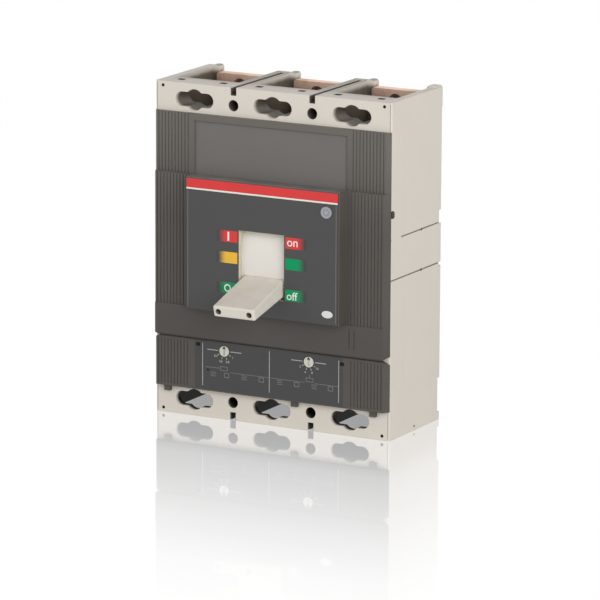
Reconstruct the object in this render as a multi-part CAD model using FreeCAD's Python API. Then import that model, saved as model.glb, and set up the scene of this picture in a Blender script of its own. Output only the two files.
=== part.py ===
import FreeCAD, Part
import math
import os

# Moulded case breaker, three poles.  Millimetres.
# X to the right seen from the front, front faces -Y, +Z up.
# Origin: centre of the four fixing holes on the back face.

# ---- case: driving sizes -------------------------------------------------
POLE_PITCH = 70.0
POLES = {"left": -POLE_PITCH, "centre": 0.0, "right": POLE_PITCH}
PARTITIONS = (-POLE_PITCH / 2, POLE_PITCH / 2)
PARTITION_T = 10.0
POCKET_WALLS = 14.0
CASE_HALF_W = 1.5 * POLE_PITCH
CASE_HALF_H = 134.0
BASE_DEPTH = 64.0
MID_COVER_DEPTH = 22.0
CASE_DEPTH = BASE_DEPTH + MID_COVER_DEPTH
BACK_WALL = 4.0
CHAMBER_HALF_W = (POLE_PITCH - PARTITION_T) / 2
CHAMBER_HALF_H = 93.0
CROSS_WALL = 4.0
POCKET_HALF_W = (POLE_PITCH - POCKET_WALLS) / 2
POCKET_START = CHAMBER_HALF_H + CROSS_WALL
FRONT_WALL = 3.5
CORNER_BEVEL = 1.0
EDGE_ROUND = 1.0
FIT = 0.1
GAP = 0.3

# fixing holes, barrier grooves and small features of the case ends
FIXING_INSET = 14.5
FIXING_SPACING_X = POLE_PITCH
FIXING_SPACING_Z = 2 * (CASE_HALF_H - FIXING_INSET)
FIXING_HOLE_R = 4.5
BARRIER_SLOT_W = 5.2
BARRIER_SLOT_DEPTH = 6.5
ACCESS_SLOT_LENGTH = 34.0
ACCESS_SLOT_W = 11.7
ACCESS_HOLE_R = 8.5
ACCESS_INSET = 13.0
ACCESS_Z = CASE_HALF_H - ACCESS_INSET
CLIP_POCKET = (6.0, 3.0, 2.0)
CLIP_POCKET_X = 19.0
CLIP_POCKET_BACK = 13.0
BOSS_W = 7.5
BOSS_END_W = 10.0
BOSS_DEPTH = 8.0
BOSS_BELOW = 16.0
BOSS_RISE = 1.2
BOSS_ROUND = 2.5
REAR_RIM_DROP = 4.6
LOAD_WALL = 7.0
NOTCHES = ((25.0, 36.0), (-9.0, -6.0), (-128.0, -100.0))
NOTCH_DEPTH = 4.0
NOTCH_W = 3.0
UPPER_GROOVE_Z = 26.0
UPPER_GROOVE_END = 17.0
LOWER_GROOVE_Z = -6.4
LOWER_GROOVE_END = 1.0
SIDE_GROOVE = 0.7

# ---- dark front cover: how far each face stands proud of the case ---------
UPPER_PROUD = 4.0
MIDDLE_PROUD = 6.5
BAND_PROUD = 7.2
BLOCK_PROUD = 16.5
TRIP_PROUD = 5.5
UPPER_FACE = CASE_DEPTH + UPPER_PROUD
MIDDLE_FACE = CASE_DEPTH + MIDDLE_PROUD
BAND_FACE = CASE_DEPTH + BAND_PROUD
BLOCK_FACE = CASE_DEPTH + BLOCK_PROUD
TRIP_COVER_FACE = CASE_DEPTH + TRIP_PROUD
COVER_INSET = 23.2
COVER_HALF_H = CASE_HALF_H - COVER_INSET
COVER_SKIN = 3.0
BLOCK_INSET = 35.5
BLOCK_HALF_W = CASE_HALF_W - BLOCK_INSET
BLOCK_TOP = 63.1
BLOCK_BOTTOM = -43.5
BLOCK_DRAFT = 1.3
BLOCK_SKIN = 3.0
MIDDLE_TOP = 62.7
BAND_BOTTOM = -69.4
SIDE_TAPER = 3.0
SEAM_GAP = 0.7
SEAM_NOTCH = (2.5, 1.3)
PANEL_INSET = 1.3
PANEL_HALF_W = BLOCK_HALF_W - PANEL_INSET
PANEL_BELOW_TOP = 5.3
PANEL_TOP = COVER_HALF_H - PANEL_BELOW_TOP
PANEL_DEPTH = 1.8
RIB_PITCH = 2.95
RIB_COUNT = 10
RIB_LAST_INSET = 5.0
RIB_GROOVE_W = 0.8
RIB_GROOVE_DEPTH = 0.5
RIB_MARGIN = 2.0
PLATE_INSET = 1.9
PLATE_HALF_W = BLOCK_HALF_W - PLATE_INSET
PLATE_T = 1.0
PLATE_MARGIN_LOW = 1.0
PLATE_MARGIN_HIGH = 0.8
PLATE_CORNER_R = 0.8

# trip unit cover and the tray behind it
TRIP_COVER_TOP = BAND_BOTTOM - SEAM_GAP
DIAL_Z = -77.3
DIAL_R = 4.2
DIAL_PROUD = 0.4
DIAL_SLOT_W = 1.4
DIAL_SLOT_DEPTH = 1.2
DIAL_RIM = 1.0
TAB_SIZE = (5.4, 4.8, 3.0)
TAB_LEFT_INSET = 11.6
TAB_RIGHT_INSET = 13.7
TAB_MIDDLE_X = 21.5
TAB_X = (TAB_LEFT_INSET - CASE_HALF_W, TAB_MIDDLE_X, CASE_HALF_W - TAB_RIGHT_INSET)
TRAY_INSET = 7.5
TRAY_HALF_W = BLOCK_HALF_W - TRAY_INSET
THERMAL_DIAL_INSET = 22.2
MAGNETIC_DIAL_INSET = 25.9
THERMAL_DIAL_X = THERMAL_DIAL_INSET - TRAY_HALF_W
MAGNETIC_DIAL_X = TRAY_HALF_W - MAGNETIC_DIAL_INSET
TRAY_Z = (-92.0, -66.0)
TRAY_SKIN = 3.0
TRAY_DEPTH = 16.0
MECHANISM_WINDOW_Z = (-62.0, 60.0)

# ---- lever ---------------------------------------------------------------
LEVER_BEHIND_FACE = 70.5
LEVER_AXIS = (LEVER_BEHIND_FACE - BLOCK_FACE, -1.5)
LEVER_OFF_ANGLE = 14.5
LEVER_HALF_W = 18.3
LEVER_TIP_R = 119.5
LEVER_ROOT_R = 60.0
LEVER_ROOT_T = 12.8
LEVER_TIP_T = 9.4
LEVER_NECK = 4.0
LEVER_EDGE_R = 1.6
LEVER_TIP_HOLE_X = 13.6
LEVER_TIP_HOLE_R = 2.3
LEVER_TIP_HOLE_DEPTH = 14.0
SHIELD_BEHIND_FACE = 3.3
SHIELD_R = LEVER_BEHIND_FACE - SHIELD_BEHIND_FACE
SHIELD_T = 2.0
SHIELD_OVERLAP = 4.2
SHIELD_HALF_W = LEVER_HALF_W + SHIELD_OVERLAP
SHIELD_LOW_ANGLE = -55.0
SHIELD_HIGH_ANGLE = 26.0
BEZEL_MARGIN = 3.1
BEZEL_HALF_W = LEVER_HALF_W + BEZEL_MARGIN
BEZEL_WALL = 1.2
BEZEL_DEPTH = 12.0
BEZEL_Z = (-29.2, 25.8)

# ---- mechanism, from the chamber's wall inwards ---------------------------
YOKE_T = 2.0
YOKE_X = CHAMBER_HALF_W - YOKE_T - 2 * GAP
SIDE_PLATE_T = 2.5
SIDE_PLATE_X = YOKE_X - SIDE_PLATE_T - 3 * GAP
SPRING_R = 2.2
SPRING_WIRE = 0.6
SPRING_TURNS = 6
SPRING_LEAD = 1.6
SPRING_END_GAP = 0.95
SPRING_X = SIDE_PLATE_X - 2 * SPRING_R + 2 * FIT
LINK_T = 2.0
LINK_RIM = 2.0
LOWER_LINK_X = SPRING_X - SPRING_R - LINK_T - 3 * GAP
UPPER_LINK_X = LOWER_LINK_X - LINK_T - 3 * GAP
ROTOR_WALL = 3.5
ARM_HALF_W = UPPER_LINK_X - ROTOR_WALL - 2 * GAP
HORN_T = 3.0
HORN_R = 4.5
SHAFT_AXIS = (-28.0, -36.0)
JOURNAL_R = 10.0
JOURNAL_FIT = 0.05
ROTOR_HALF = 14.0
ROTOR_FLAT = 6.5
CRANK_OFFSET = (-10.0, 22.0)
CRANK_PIN_R = 2.5
CRADLE_PIN_BEHIND = 20.0
CRADLE_PIVOT_BEHIND = 14.0
CRADLE_PIN = (CRADLE_PIN_BEHIND - CASE_DEPTH, -14.0)
CRADLE_PIVOT = (CRADLE_PIVOT_BEHIND - CASE_DEPTH, 12.0)
CRADLE_HALF_W = 5.0
# the two links are equal, and in the closed pose their knee stands this far off the line of their far pins
KNEE_OFFSET = 7.746
CLOSED_SPAN = (SHAFT_AXIS[0] + CRANK_OFFSET[0] - CRADLE_PIN[0],
               SHAFT_AXIS[1] + CRANK_OFFSET[1] - CRADLE_PIN[1])
LINK_LENGTH = math.hypot(math.hypot(*CLOSED_SPAN) / 2, KNEE_OFFSET)
KNEE_PIN_R = 2.0
KNEE_PIN_HALF = SPRING_X + SPRING_R + FIT
KNEE_HOLE_CLEARANCE = 2.1
PIN_END = 0.5
YOKE_WEB_R = 54.0
YOKE_WEB_T = 3.0
YOKE_TONGUE_R = 88.0
YOKE_TONGUE_HALF_W = 13.0
YOKE_TONGUE_T = 3.0
YOKE_ARM_HALF = 7.0
YOKE_WEB_HALF = 10.0
YOKE_PIN_R = 3.0
# outlines as (y, z) steps from the pin or axis that each plate hangs on
SIDE_PLATE_FRONT = ((28, 44), (-6, 35), (-13, 20), (-11, -6), (-4, -18), (18, -42))
SIDE_PLATE_TOP_BACK = 38.0
CRADLE_HEAD = ((-5.5, 0), (-10.5, 22), (-10, 29), (-4, 31), (-1, 22), (3.5, 6), (4.5, -4))
CRADLE_WAIST = (-10, -22)
CRADLE_KNEE_GAP = 0.95
CRADLE_TOE = ((9, -26.5), (8, -30.5), (0, -29.5), (-2.3, -22))
TRIP_HOOK = ((0, 3.7), (-10, 10), (-12.6, 14), (-12.6, 22.5), (-15.5, 22), (-16, 14),
             (-11.5, 6.5), (-3, -2.5))

# ---- current path --------------------------------------------------------
BAR_EDGE_GAP = 7.0
BAR_HALF_W = POCKET_HALF_W - BAR_EDGE_GAP
BAR_BACK = 5.0
BAR_T = 8.0
BAR_END_INSET = 3.5
BAR_END = CASE_HALF_H - BAR_END_INSET
BAR_BEVEL = 1.5
BAR_HOLE_R = 6.0
NARROW_HALF_W = 10.0
LOOP_T = 6.0
LOOP_FRONT = 23.5
LOOP_BOTTOM = 36.0
LOOP_TOP = 60.0
LOOP_BEND_R = 4.0
WIDE_END_TOP = 64.0
WIDE_END_IN_CHAMBER = 9.0
WIDE_END_BOTTOM = WIDE_END_IN_CHAMBER - CHAMBER_HALF_H
CONTACT_Z = (44.0, 56.0)
CONTACT_T = 3.2
CONTACT_HALF_W = ARM_HALF_W - 1.0
ARM_TIP = 58.0
ARM_T = 8.0
ARM_TAIL = 17.0
ARM_NECK = (15.0, 26.0)
ARM_HEAD = 34.0
ARM_FRONT = LOOP_FRONT + 2 * CONTACT_T + GAP
ARM_NOSE = 1.0
# the shaft opens until the arms' tips are this far behind the front wall
ARM_TIP_GAP = 2.25
ARM_TIP_STEP = (ARM_FRONT + ARM_T - ARM_NOSE + SHAFT_AXIS[0], ARM_TIP - SHAFT_AXIS[1])
SHAFT_OPEN_ANGLE = math.degrees(
    math.asin((CASE_DEPTH - FRONT_WALL - ARM_TIP_GAP + SHAFT_AXIS[0]) / math.hypot(*ARM_TIP_STEP))
    - math.atan2(*ARM_TIP_STEP))
CHUTE_FRAME_T = 1.7
CHUTE_WALL_GAP = 1.0
CHUTE_Z = (40.0, CHAMBER_HALF_H - CHUTE_WALL_GAP)
CHUTE_FRONT_GAP = 2.5
CHUTE_Y = (FRONT_WALL + CHUTE_FRONT_GAP - CASE_DEPTH, -20.0)
SPLITTER_INSET = 1.0
SPLITTER_Z = (64.0, CHUTE_Z[1] - SPLITTER_INSET)
SPLITTER_T = 1.6
SPLITTER_COUNT = 9
SPLITTER_END_GAP = 5.0
SPLITTER_NOTCH = (8.0, 9.0)

# ---- trip unit -----------------------------------------------------------
HEATER_T = 3.0
HEATER_HALF_W = 7.0
HEATER_FRONT = 36.0
HEATER_TOP = -56.0
HEATER_STEP_ABOVE = 13.0
HEATER_STEP_Z = HEATER_STEP_ABOVE - CHAMBER_HALF_H
HEATER_FOOT = 10.0
HEATER_BEND_R = 2.0
BRAID_T = 7.0
BRAID_HALF_W = 6.0
BIMETAL_T = 1.2
BIMETAL_HALF_W = 5.0
BIMETAL_TOP = -53.0
SETTING_BLOCK = (1.5, 1.5, 3.0)
YOKE_MAGNET_T = 2.5
YOKE_MAGNET_HALF_W = 12.0
YOKE_MAGNET_ABOVE_STEP = 4.0
YOKE_MAGNET_Z = (HEATER_STEP_Z + YOKE_MAGNET_ABOVE_STEP, -64.5)
YOKE_MAGNET_DEPTH = 15.0
ARMATURE_GAP = 3.5
ARMATURE_T = 1.8
ARMATURE_ABOVE_STEP = 1.0
ARMATURE_AXIS_Z = HEATER_STEP_Z + ARMATURE_ABOVE_STEP
ARMATURE_PIN_R = 1.0
KNUCKLE_HALF = 1.8
TRIP_BAR_IN_BASE = 8.0
TRIP_BAR_AXIS = (TRIP_BAR_IN_BASE - BASE_DEPTH, -60.0)
TRIP_BAR_R = 4.0
PADDLE_GAP = 1.3
PADDLE_TIP_Z = -55.5
PADDLE_HALF_W = 6.0
EAR_HALF_W = 3.0
EAR_T = 3.0
TEST_ROD_HALF_W = 2.0
TEST_ROD_ARM_GAP = 2.8
TEST_ROD_X = POLE_PITCH - ARM_HALF_W - TEST_ROD_ARM_GAP - TEST_ROD_HALF_W
TEST_ROD_T = 4.6
TEST_ROD_Y = (FRONT_WALL + 3 * GAP - CASE_DEPTH, FRONT_WALL + 3 * GAP + TEST_ROD_T - CASE_DEPTH)
TEST_ROD_ABOVE = 10.0
BUTTON_Z = 46.5
BUTTON_R = 4.8
BUTTON_PROUD = 0.8
BUTTON_STEM_R = 3.0
BUTTON_STEM_BEHIND = 16.0
BUTTON_COLLAR_R = 6.2
BUTTON_COLLAR_T = 1.5
BUTTON_SPRING_R = 4.2
BUTTON_SPRING_WIRE = 0.4
BUTTON_SPRING_TURNS = 5
CAM_BEHIND = 6.0
CAM_BELOW = 2.5
BUTTON_CAM = (CAM_BEHIND - CASE_DEPTH, BUTTON_Z - CAM_BELOW)
CAM_REACH = 60.0
CAM_HALF_W = 20.0

# springs are swept along straight runs, this many for each turn
COIL_SEGMENTS = 8

X_AXIS = FreeCAD.Vector(1, 0, 0)
Y_AXIS = FreeCAD.Vector(0, 1, 0)
Z_AXIS = FreeCAD.Vector(0, 0, 1)


# ---- small tools ---------------------------------------------------------
def vec(x, y, z):
    return FreeCAD.Vector(x, y, z)


def box(x0, x1, y0, y1, z0, z1):
    return Part.makeBox(x1 - x0, y1 - y0, z1 - z0, vec(x0, y0, z0))


def rod_x(x0, x1, yz, radius):
    return Part.makeCylinder(radius, x1 - x0, vec(x0, yz[0], yz[1]), X_AXIS)


def rod_y(y0, y1, x, z, radius):
    return Part.makeCylinder(radius, y1 - y0, vec(x, y0, z), Y_AXIS)


def side_profile(points, x0, x1):
    """A closed outline of (y, z) points, extruded along X from x0 to x1."""
    corners = [vec(x0, y, z) for y, z in points]
    face = Part.Face(Part.makePolygon(corners + corners[:1]))
    return face.extrude(vec(x1 - x0, 0, 0))


def plan_profile(points, z0, z1):
    """A closed outline of (x, y) points, extruded along Z from z0 to z1."""
    corners = [vec(x, y, z0) for x, y in points]
    face = Part.Face(Part.makePolygon(corners + corners[:1]))
    return face.extrude(vec(0, 0, z1 - z0))


def front_profile(points, y0, y1):
    """A closed outline of (x, z) points, extruded along Y from y0 to y1."""
    corners = [vec(x, y0, z) for x, z in points]
    face = Part.Face(Part.makePolygon(corners + corners[:1]))
    return face.extrude(vec(0, y1 - y0, 0))


def join(shapes):
    first, *rest = shapes
    return first.fuse(rest).removeSplitter() if rest else first


def cut(shape, tools):
    return shape.cut(tools).removeSplitter()


def mirrored(shape):
    """The shape and its mirror image across the middle plane x = 0."""
    return [shape, shape.mirror(vec(0, 0, 0), X_AXIS)]


def edges_along(shape, axis, test):
    """Straight edges parallel to an axis whose middle point passes a test."""
    found = []
    for edge in shape.Edges:
        if edge.Curve.TypeId != "Part::GeomLine":
            continue
        start, end = (v.Point for v in edge.Vertexes)
        run = end - start
        if abs(abs(run.dot(axis)) - run.Length) < 1e-6 and test((start + end) * 0.5):
            found.append(edge)
    return found


def placed(outline, origin):
    """An outline of (y, z) steps, set at its origin."""
    return [(origin[0] + y, origin[1] + z) for y, z in outline]


def turned(shape, axis_yz, angle):
    """A copy turned about an axis along X, by the right-hand rule."""
    copy = shape.copy()
    copy.rotate(vec(0, axis_yz[0], axis_yz[1]), X_AXIS, angle)
    return copy


def turned_point(point, axis_yz, angle):
    a = math.radians(angle)
    y, z = point[0] - axis_yz[0], point[1] - axis_yz[1]
    return (axis_yz[0] + y * math.cos(a) - z * math.sin(a),
            axis_yz[1] + y * math.sin(a) + z * math.cos(a))


def to_open(shape):
    """From the closed pose of the contact shaft to its open pose at rest."""
    return turned(shape, SHAFT_AXIS, SHAFT_OPEN_ANGLE)


def to_off(shape):
    """From the level pose of the lever to its OFF pose at rest."""
    return turned(shape, LEVER_AXIS, LEVER_OFF_ANGLE)


def coil(start, end, radius, wire, turns, lead):
    """A helical spring of plain square wire; a lead above 0 brings both ends in to its axis."""
    run = (end - start).Length
    steps = turns * COIL_SEGMENTS
    path = []
    for step in range(steps + 1):
        a = 2 * math.pi * step / COIL_SEGMENTS
        rise = lead + (run - 2 * lead) * step / steps
        path.append(vec(radius * math.cos(a), radius * math.sin(a), rise))
    if lead > 0:
        path = [vec(0, 0, 0)] + path + [vec(0, 0, run)]
    face = FreeCAD.Rotation(Z_AXIS, path[1] - path[0])
    section = []
    for corner in range(5):
        a = math.pi * corner / 2
        section.append(path[0] + face.multVec(vec(wire * math.cos(a), wire * math.sin(a), 0)))
    spring = Part.makePolygon(path).makePipeShell([Part.makePolygon(section)], True, False, 1)
    spring.Placement = FreeCAD.Placement(start, FreeCAD.Rotation(Z_AXIS, end - start))
    return spring


# ---- case ----------------------------------------------------------------
def fixing_points():
    return [(x, z) for x in (-FIXING_SPACING_X / 2, FIXING_SPACING_X / 2)
            for z in (-FIXING_SPACING_Z / 2, FIXING_SPACING_Z / 2)]


def fixing_holes(y0, y1):
    return [rod_y(y0, y1, x, z, FIXING_HOLE_R) for x, z in fixing_points()]


def barrier_grooves(y0, y1):
    half = BARRIER_SLOT_W / 2
    reach = CASE_HALF_H - BARRIER_SLOT_DEPTH
    grooves = []
    for x in PARTITIONS:
        grooves.append(box(x - half, x + half, y0, y1, reach, CASE_HALF_H + 5))
        grooves.append(box(x - half, x + half, y0, y1, -CASE_HALF_H - 5, -reach))
    return grooves


def side_grooves():
    """Shallow V grooves along both sides, open at the back and ending behind the front."""
    cutters = []
    for z, stop in ((UPPER_GROOVE_Z, UPPER_GROOVE_END), (LOWER_GROOVE_Z, LOWER_GROOVE_END)):
        outline = [(CASE_HALF_W + 1, z - SIDE_GROOVE - 1), (CASE_HALF_W + 1, z + SIDE_GROOVE + 1),
                   (CASE_HALF_W - SIDE_GROOVE, z)]
        cutters += mirrored(front_profile(outline, stop - CASE_DEPTH, 1))
    return cutters


def back_notches():
    """Steps cut into both rear edges for a mounting plate's hooks."""
    inner = CASE_HALF_W - NOTCH_W
    cutters = []
    for low, high in NOTCHES:
        cutters += mirrored(box(inner, CASE_HALF_W + 1, -NOTCH_DEPTH, 1, low, high))
    return cutters


def rear_rims():
    """What is taken off the back wall's ends, so that the bars' ends clear it."""
    low, high = CASE_HALF_H - REAR_RIM_DROP, CASE_HALF_H + 1
    rims = []
    for x in POLES.values():
        for z0, z1 in ((low, high), (-high, -low)):
            rims.append(box(x - POCKET_HALF_W, x + POCKET_HALF_W, -BACK_WALL - 1, 1, z0, z1))
    return rims


def corner_bosses():
    """Rounded bosses that stand up at the rear of the line side pockets, clear of the bars."""
    top = CASE_HALF_H + BOSS_RISE
    spans = [(x - BAR_HALF_W - GAP - BOSS_W, x - BAR_HALF_W - GAP) for x in POLES.values()]
    spans.append((CASE_HALF_W - BOSS_END_W, CASE_HALF_W))
    bosses = []
    for x0, x1 in spans:
        boss = box(x0, x1, -BOSS_DEPTH, 0, CASE_HALF_H - BOSS_BELOW, top)
        bosses.append(boss.makeFillet(BOSS_ROUND, edges_along(boss, Y_AXIS, lambda p: p.z > top - 0.1)))
    return bosses


def bar_slots():
    """Where the terminal bars pass through the cross walls."""
    slots = []
    for x in POLES.values():
        for z in (CHAMBER_HALF_H - 1, -POCKET_START - 1):
            slots.append(box(x - BAR_HALF_W - FIT, x + BAR_HALF_W + FIT, -BAR_BACK - BAR_T - FIT,
                             -BAR_BACK + FIT, z, z + CROSS_WALL + 2))
    return slots


def rear_base():
    """The moulded case: three chambers, terminal pockets at both ends and the shaft bearings."""
    body = box(-CASE_HALF_W, CASE_HALF_W, -BASE_DEPTH, 0, -CASE_HALF_H, CASE_HALF_H)
    body = body.makeFillet(EDGE_ROUND, edges_along(body, Z_AXIS, lambda p: p.y > -1))
    hollows = []
    for x in POLES.values():
        hollows.append(box(x - CHAMBER_HALF_W, x + CHAMBER_HALF_W, -BASE_DEPTH - 1, -BACK_WALL,
                           -CHAMBER_HALF_H, CHAMBER_HALF_H))
        for low, high in ((POCKET_START, CASE_HALF_H + 1), (-CASE_HALF_H - 1, -POCKET_START)):
            hollows.append(box(x - POCKET_HALF_W, x + POCKET_HALF_W,
                               -BASE_DEPTH - 1, -BACK_WALL, low, high))
    body = body.cut(hollows + rear_rims()).fuse(corner_bosses())
    cutters = fixing_holes(-BASE_DEPTH - 1, 1) + barrier_grooves(-BASE_DEPTH - 1, -BACK_WALL)
    cutters += bar_slots() + side_grooves() + back_notches()
    for x in PARTITIONS:
        wall = (x - POLE_PITCH / 2 + CHAMBER_HALF_W - 1, x + POLE_PITCH / 2 - CHAMBER_HALF_W + 1)
        cutters.append(open_bearing(wall, SHAFT_AXIS, JOURNAL_R + JOURNAL_FIT))
        cutters.append(open_bearing(wall, TRIP_BAR_AXIS, TRIP_BAR_R + JOURNAL_FIT))
    return cut(body, cutters)


def open_bearing(wall, axis_yz, radius):
    """A U-shaped bearing slot in a partition, open towards the front."""
    slot = box(wall[0], wall[1], -BASE_DEPTH - 1, axis_yz[0], axis_yz[1] - radius, axis_yz[1] + radius)
    return slot.fuse(rod_x(wall[0], wall[1], axis_yz, radius))


def access_slot(x, z, y0, y1):
    """The lobed opening: a round-ended slot with a larger round hole in its middle."""
    reach = (ACCESS_SLOT_LENGTH - ACCESS_SLOT_W) / 2
    half = ACCESS_SLOT_W / 2
    shapes = [box(x - reach, x + reach, y0, y1, z - half, z + half)]
    shapes += [rod_y(y0, y1, x + side * reach, z, half) for side in (-1, 1)]
    shapes.append(rod_y(y0, y1, x, z, ACCESS_HOLE_R))
    return join(shapes)


def mid_cover():
    y0, y1 = -CASE_DEPTH, -BASE_DEPTH
    body = box(-CASE_HALF_W, CASE_HALF_W, y0, y1, -CASE_HALF_H, CASE_HALF_H)
    body = body.makeChamfer(CORNER_BEVEL, edges_along(body, Z_AXIS, lambda p: p.y < y0 + 1))
    cutters = []
    for x in POLES.values():
        cutters.append(box(x - CHAMBER_HALF_W, x + CHAMBER_HALF_W, y0 + FRONT_WALL, y1 + 1,
                           -CHAMBER_HALF_H, CHAMBER_HALF_H))
        cutters.append(box(x - POCKET_HALF_W, x + POCKET_HALF_W, y0 + LOAD_WALL, y1 + 1,
                           -CASE_HALF_H - 1, -POCKET_START))
        cutters += [access_slot(x, z, y0 - 1, y1 + 1) for z in (ACCESS_Z, -ACCESS_Z)]
        cutters += [clip_pocket(x + side * CLIP_POCKET_X) for side in (-1, 1)]
    cutters.append(box(-CHAMBER_HALF_W, CHAMBER_HALF_W, y0 - 1, y1 + 1, *MECHANISM_WINDOW_Z))
    cutters.append(box(-TRAY_HALF_W, TRAY_HALF_W, y0 - 1, y1 + 1, *TRAY_Z))
    cutters.append(rod_y(y0 - 1, y1 + 1, TEST_ROD_X, BUTTON_Z, BUTTON_STEM_R + GAP))
    cutters += fixing_holes(y0 - 1, y1 + 1) + barrier_grooves(y0 - 1, y1 + 1) + side_grooves()
    return cut(body, cutters)


def clip_pocket(x):
    """A shallow pocket in the line end, for a terminal cover's clip."""
    width, depth, sink = CLIP_POCKET
    y = CLIP_POCKET_BACK - CASE_DEPTH
    return box(x - width / 2, x + width / 2, y - depth / 2, y + depth / 2,
               CASE_HALF_H - sink, CASE_HALF_H + 1)


# ---- covers --------------------------------------------------------------
def tapered_slab(half_w, face, low, high):
    """A cover section whose sides slope back to the full width of the case."""
    inner = half_w - SIDE_TAPER
    outline = [(-half_w, -CASE_DEPTH), (-inner, -face), (inner, -face), (half_w, -CASE_DEPTH)]
    return plan_profile(outline, low, high)


def rib_grooves(face, low, high):
    """Upright grooves that leave the ribs of the two side columns."""
    grooves = []
    for number in range(RIB_COUNT):
        x = CASE_HALF_W - RIB_LAST_INSET - number * RIB_PITCH
        groove = box(x - RIB_GROOVE_W / 2, x + RIB_GROOVE_W / 2, -face - 1, -face + RIB_GROOVE_DEPTH,
                     low, high)
        grooves += mirrored(groove)
    return grooves


def seam_notches(face, seam, way):
    """Corners cut off where the two covers meet at the sides; way is 1 above the seam, -1 below it."""
    corner = CASE_HALF_W - SIDE_TAPER
    width, height = SEAM_NOTCH
    outer = CASE_HALF_W + 1
    rise = height * (outer - corner + width) / width
    outline = [(corner - width, seam), (outer, seam + way * rise), (outer, seam - way),
               (corner - width, seam - way)]
    return mirrored(front_profile(outline, -face - 1, -CASE_DEPTH + 1))


def raised_block():
    root, top = -MIDDLE_FACE + 1, -BLOCK_FACE
    half_w = BLOCK_HALF_W
    outline = [(-half_w, root), (-half_w + BLOCK_DRAFT, top), (half_w - BLOCK_DRAFT, top), (half_w, root)]
    block = plan_profile(outline, BLOCK_BOTTOM, BLOCK_TOP)
    rims = edges_along(block, Z_AXIS, lambda p: p.y < top + 0.1)
    rims += edges_along(block, X_AXIS, lambda p: p.y < top + 0.1)
    return block.makeFillet(EDGE_ROUND, rims)


def front_cover():
    shell = [tapered_slab(CASE_HALF_W, UPPER_FACE, MIDDLE_TOP - 1, COVER_HALF_H),
             tapered_slab(CASE_HALF_W, MIDDLE_FACE, BLOCK_BOTTOM - 1, MIDDLE_TOP),
             tapered_slab(CASE_HALF_W, BAND_FACE, BAND_BOTTOM, BLOCK_BOTTOM), raised_block()]
    body = join(shell)
    body = body.makeChamfer(EDGE_ROUND * 1.5, edges_along(
        body, X_AXIS, lambda p: p.y < -BAND_FACE + 0.1 and p.z < BAND_BOTTOM + 0.1))
    inner_w = CASE_HALF_W - SIDE_TAPER - COVER_SKIN
    hollow_y = -MIDDLE_FACE + COVER_SKIN
    block_w = BLOCK_HALF_W - BLOCK_SKIN
    cutters = [box(-PANEL_HALF_W, PANEL_HALF_W, -UPPER_FACE - 1, -UPPER_FACE + PANEL_DEPTH,
                   MIDDLE_TOP, PANEL_TOP),
               box(-inner_w, inner_w, hollow_y, -CASE_DEPTH + 1, BAND_BOTTOM + COVER_SKIN,
                   MIDDLE_TOP - COVER_SKIN),
               box(-block_w, block_w, -BLOCK_FACE + BLOCK_SKIN, hollow_y + 1,
                   BLOCK_BOTTOM + BLOCK_SKIN, BLOCK_TOP - BLOCK_SKIN),
               box(-BEZEL_HALF_W, BEZEL_HALF_W, -BLOCK_FACE - 1, -BLOCK_FACE + BLOCK_SKIN + 1, *BEZEL_Z),
               rod_y(-BLOCK_FACE - 1, -BLOCK_FACE + BLOCK_SKIN + 1, TEST_ROD_X, BUTTON_Z, BUTTON_R + GAP)]
    cutters += rib_grooves(UPPER_FACE, MIDDLE_TOP, COVER_HALF_H + 1)
    cutters += rib_grooves(MIDDLE_FACE, BLOCK_BOTTOM, MIDDLE_TOP)
    cutters += seam_notches(BAND_FACE, BAND_BOTTOM, 1)
    return cut(body, cutters)


def face_plate():
    """The smooth plate that covers the front of the raised block."""
    plate = box(-PLATE_HALF_W, PLATE_HALF_W, -BLOCK_FACE - PLATE_T, -BLOCK_FACE,
                BLOCK_BOTTOM + PLATE_MARGIN_LOW, BLOCK_TOP - PLATE_MARGIN_HIGH)
    plate = plate.makeFillet(PLATE_CORNER_R, edges_along(plate, Y_AXIS, lambda p: True))
    return cut(plate, [box(-BEZEL_HALF_W, BEZEL_HALF_W, -BLOCK_FACE - 2, -BLOCK_FACE + 1, *BEZEL_Z),
                       rod_y(-BLOCK_FACE - 2, -BLOCK_FACE + 1, TEST_ROD_X, BUTTON_Z, BUTTON_R + GAP)])


def lever_bezel():
    """A lining of the lever's opening whose rear edge follows the curved shield."""
    low, high = BEZEL_Z
    front = -BLOCK_FACE - PLATE_T
    ring = box(-BEZEL_HALF_W, BEZEL_HALF_W, front, BEZEL_DEPTH - BLOCK_FACE, low, high)
    inner = BEZEL_HALF_W - BEZEL_WALL
    hole = box(-inner, inner, front - 1, BEZEL_DEPTH - BLOCK_FACE + 1, low + BEZEL_WALL, high - BEZEL_WALL)
    sweep = rod_x(-BEZEL_HALF_W - 1, BEZEL_HALF_W + 1, LEVER_AXIS, SHIELD_R + GAP)
    return cut(ring, [hole, sweep])


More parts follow.
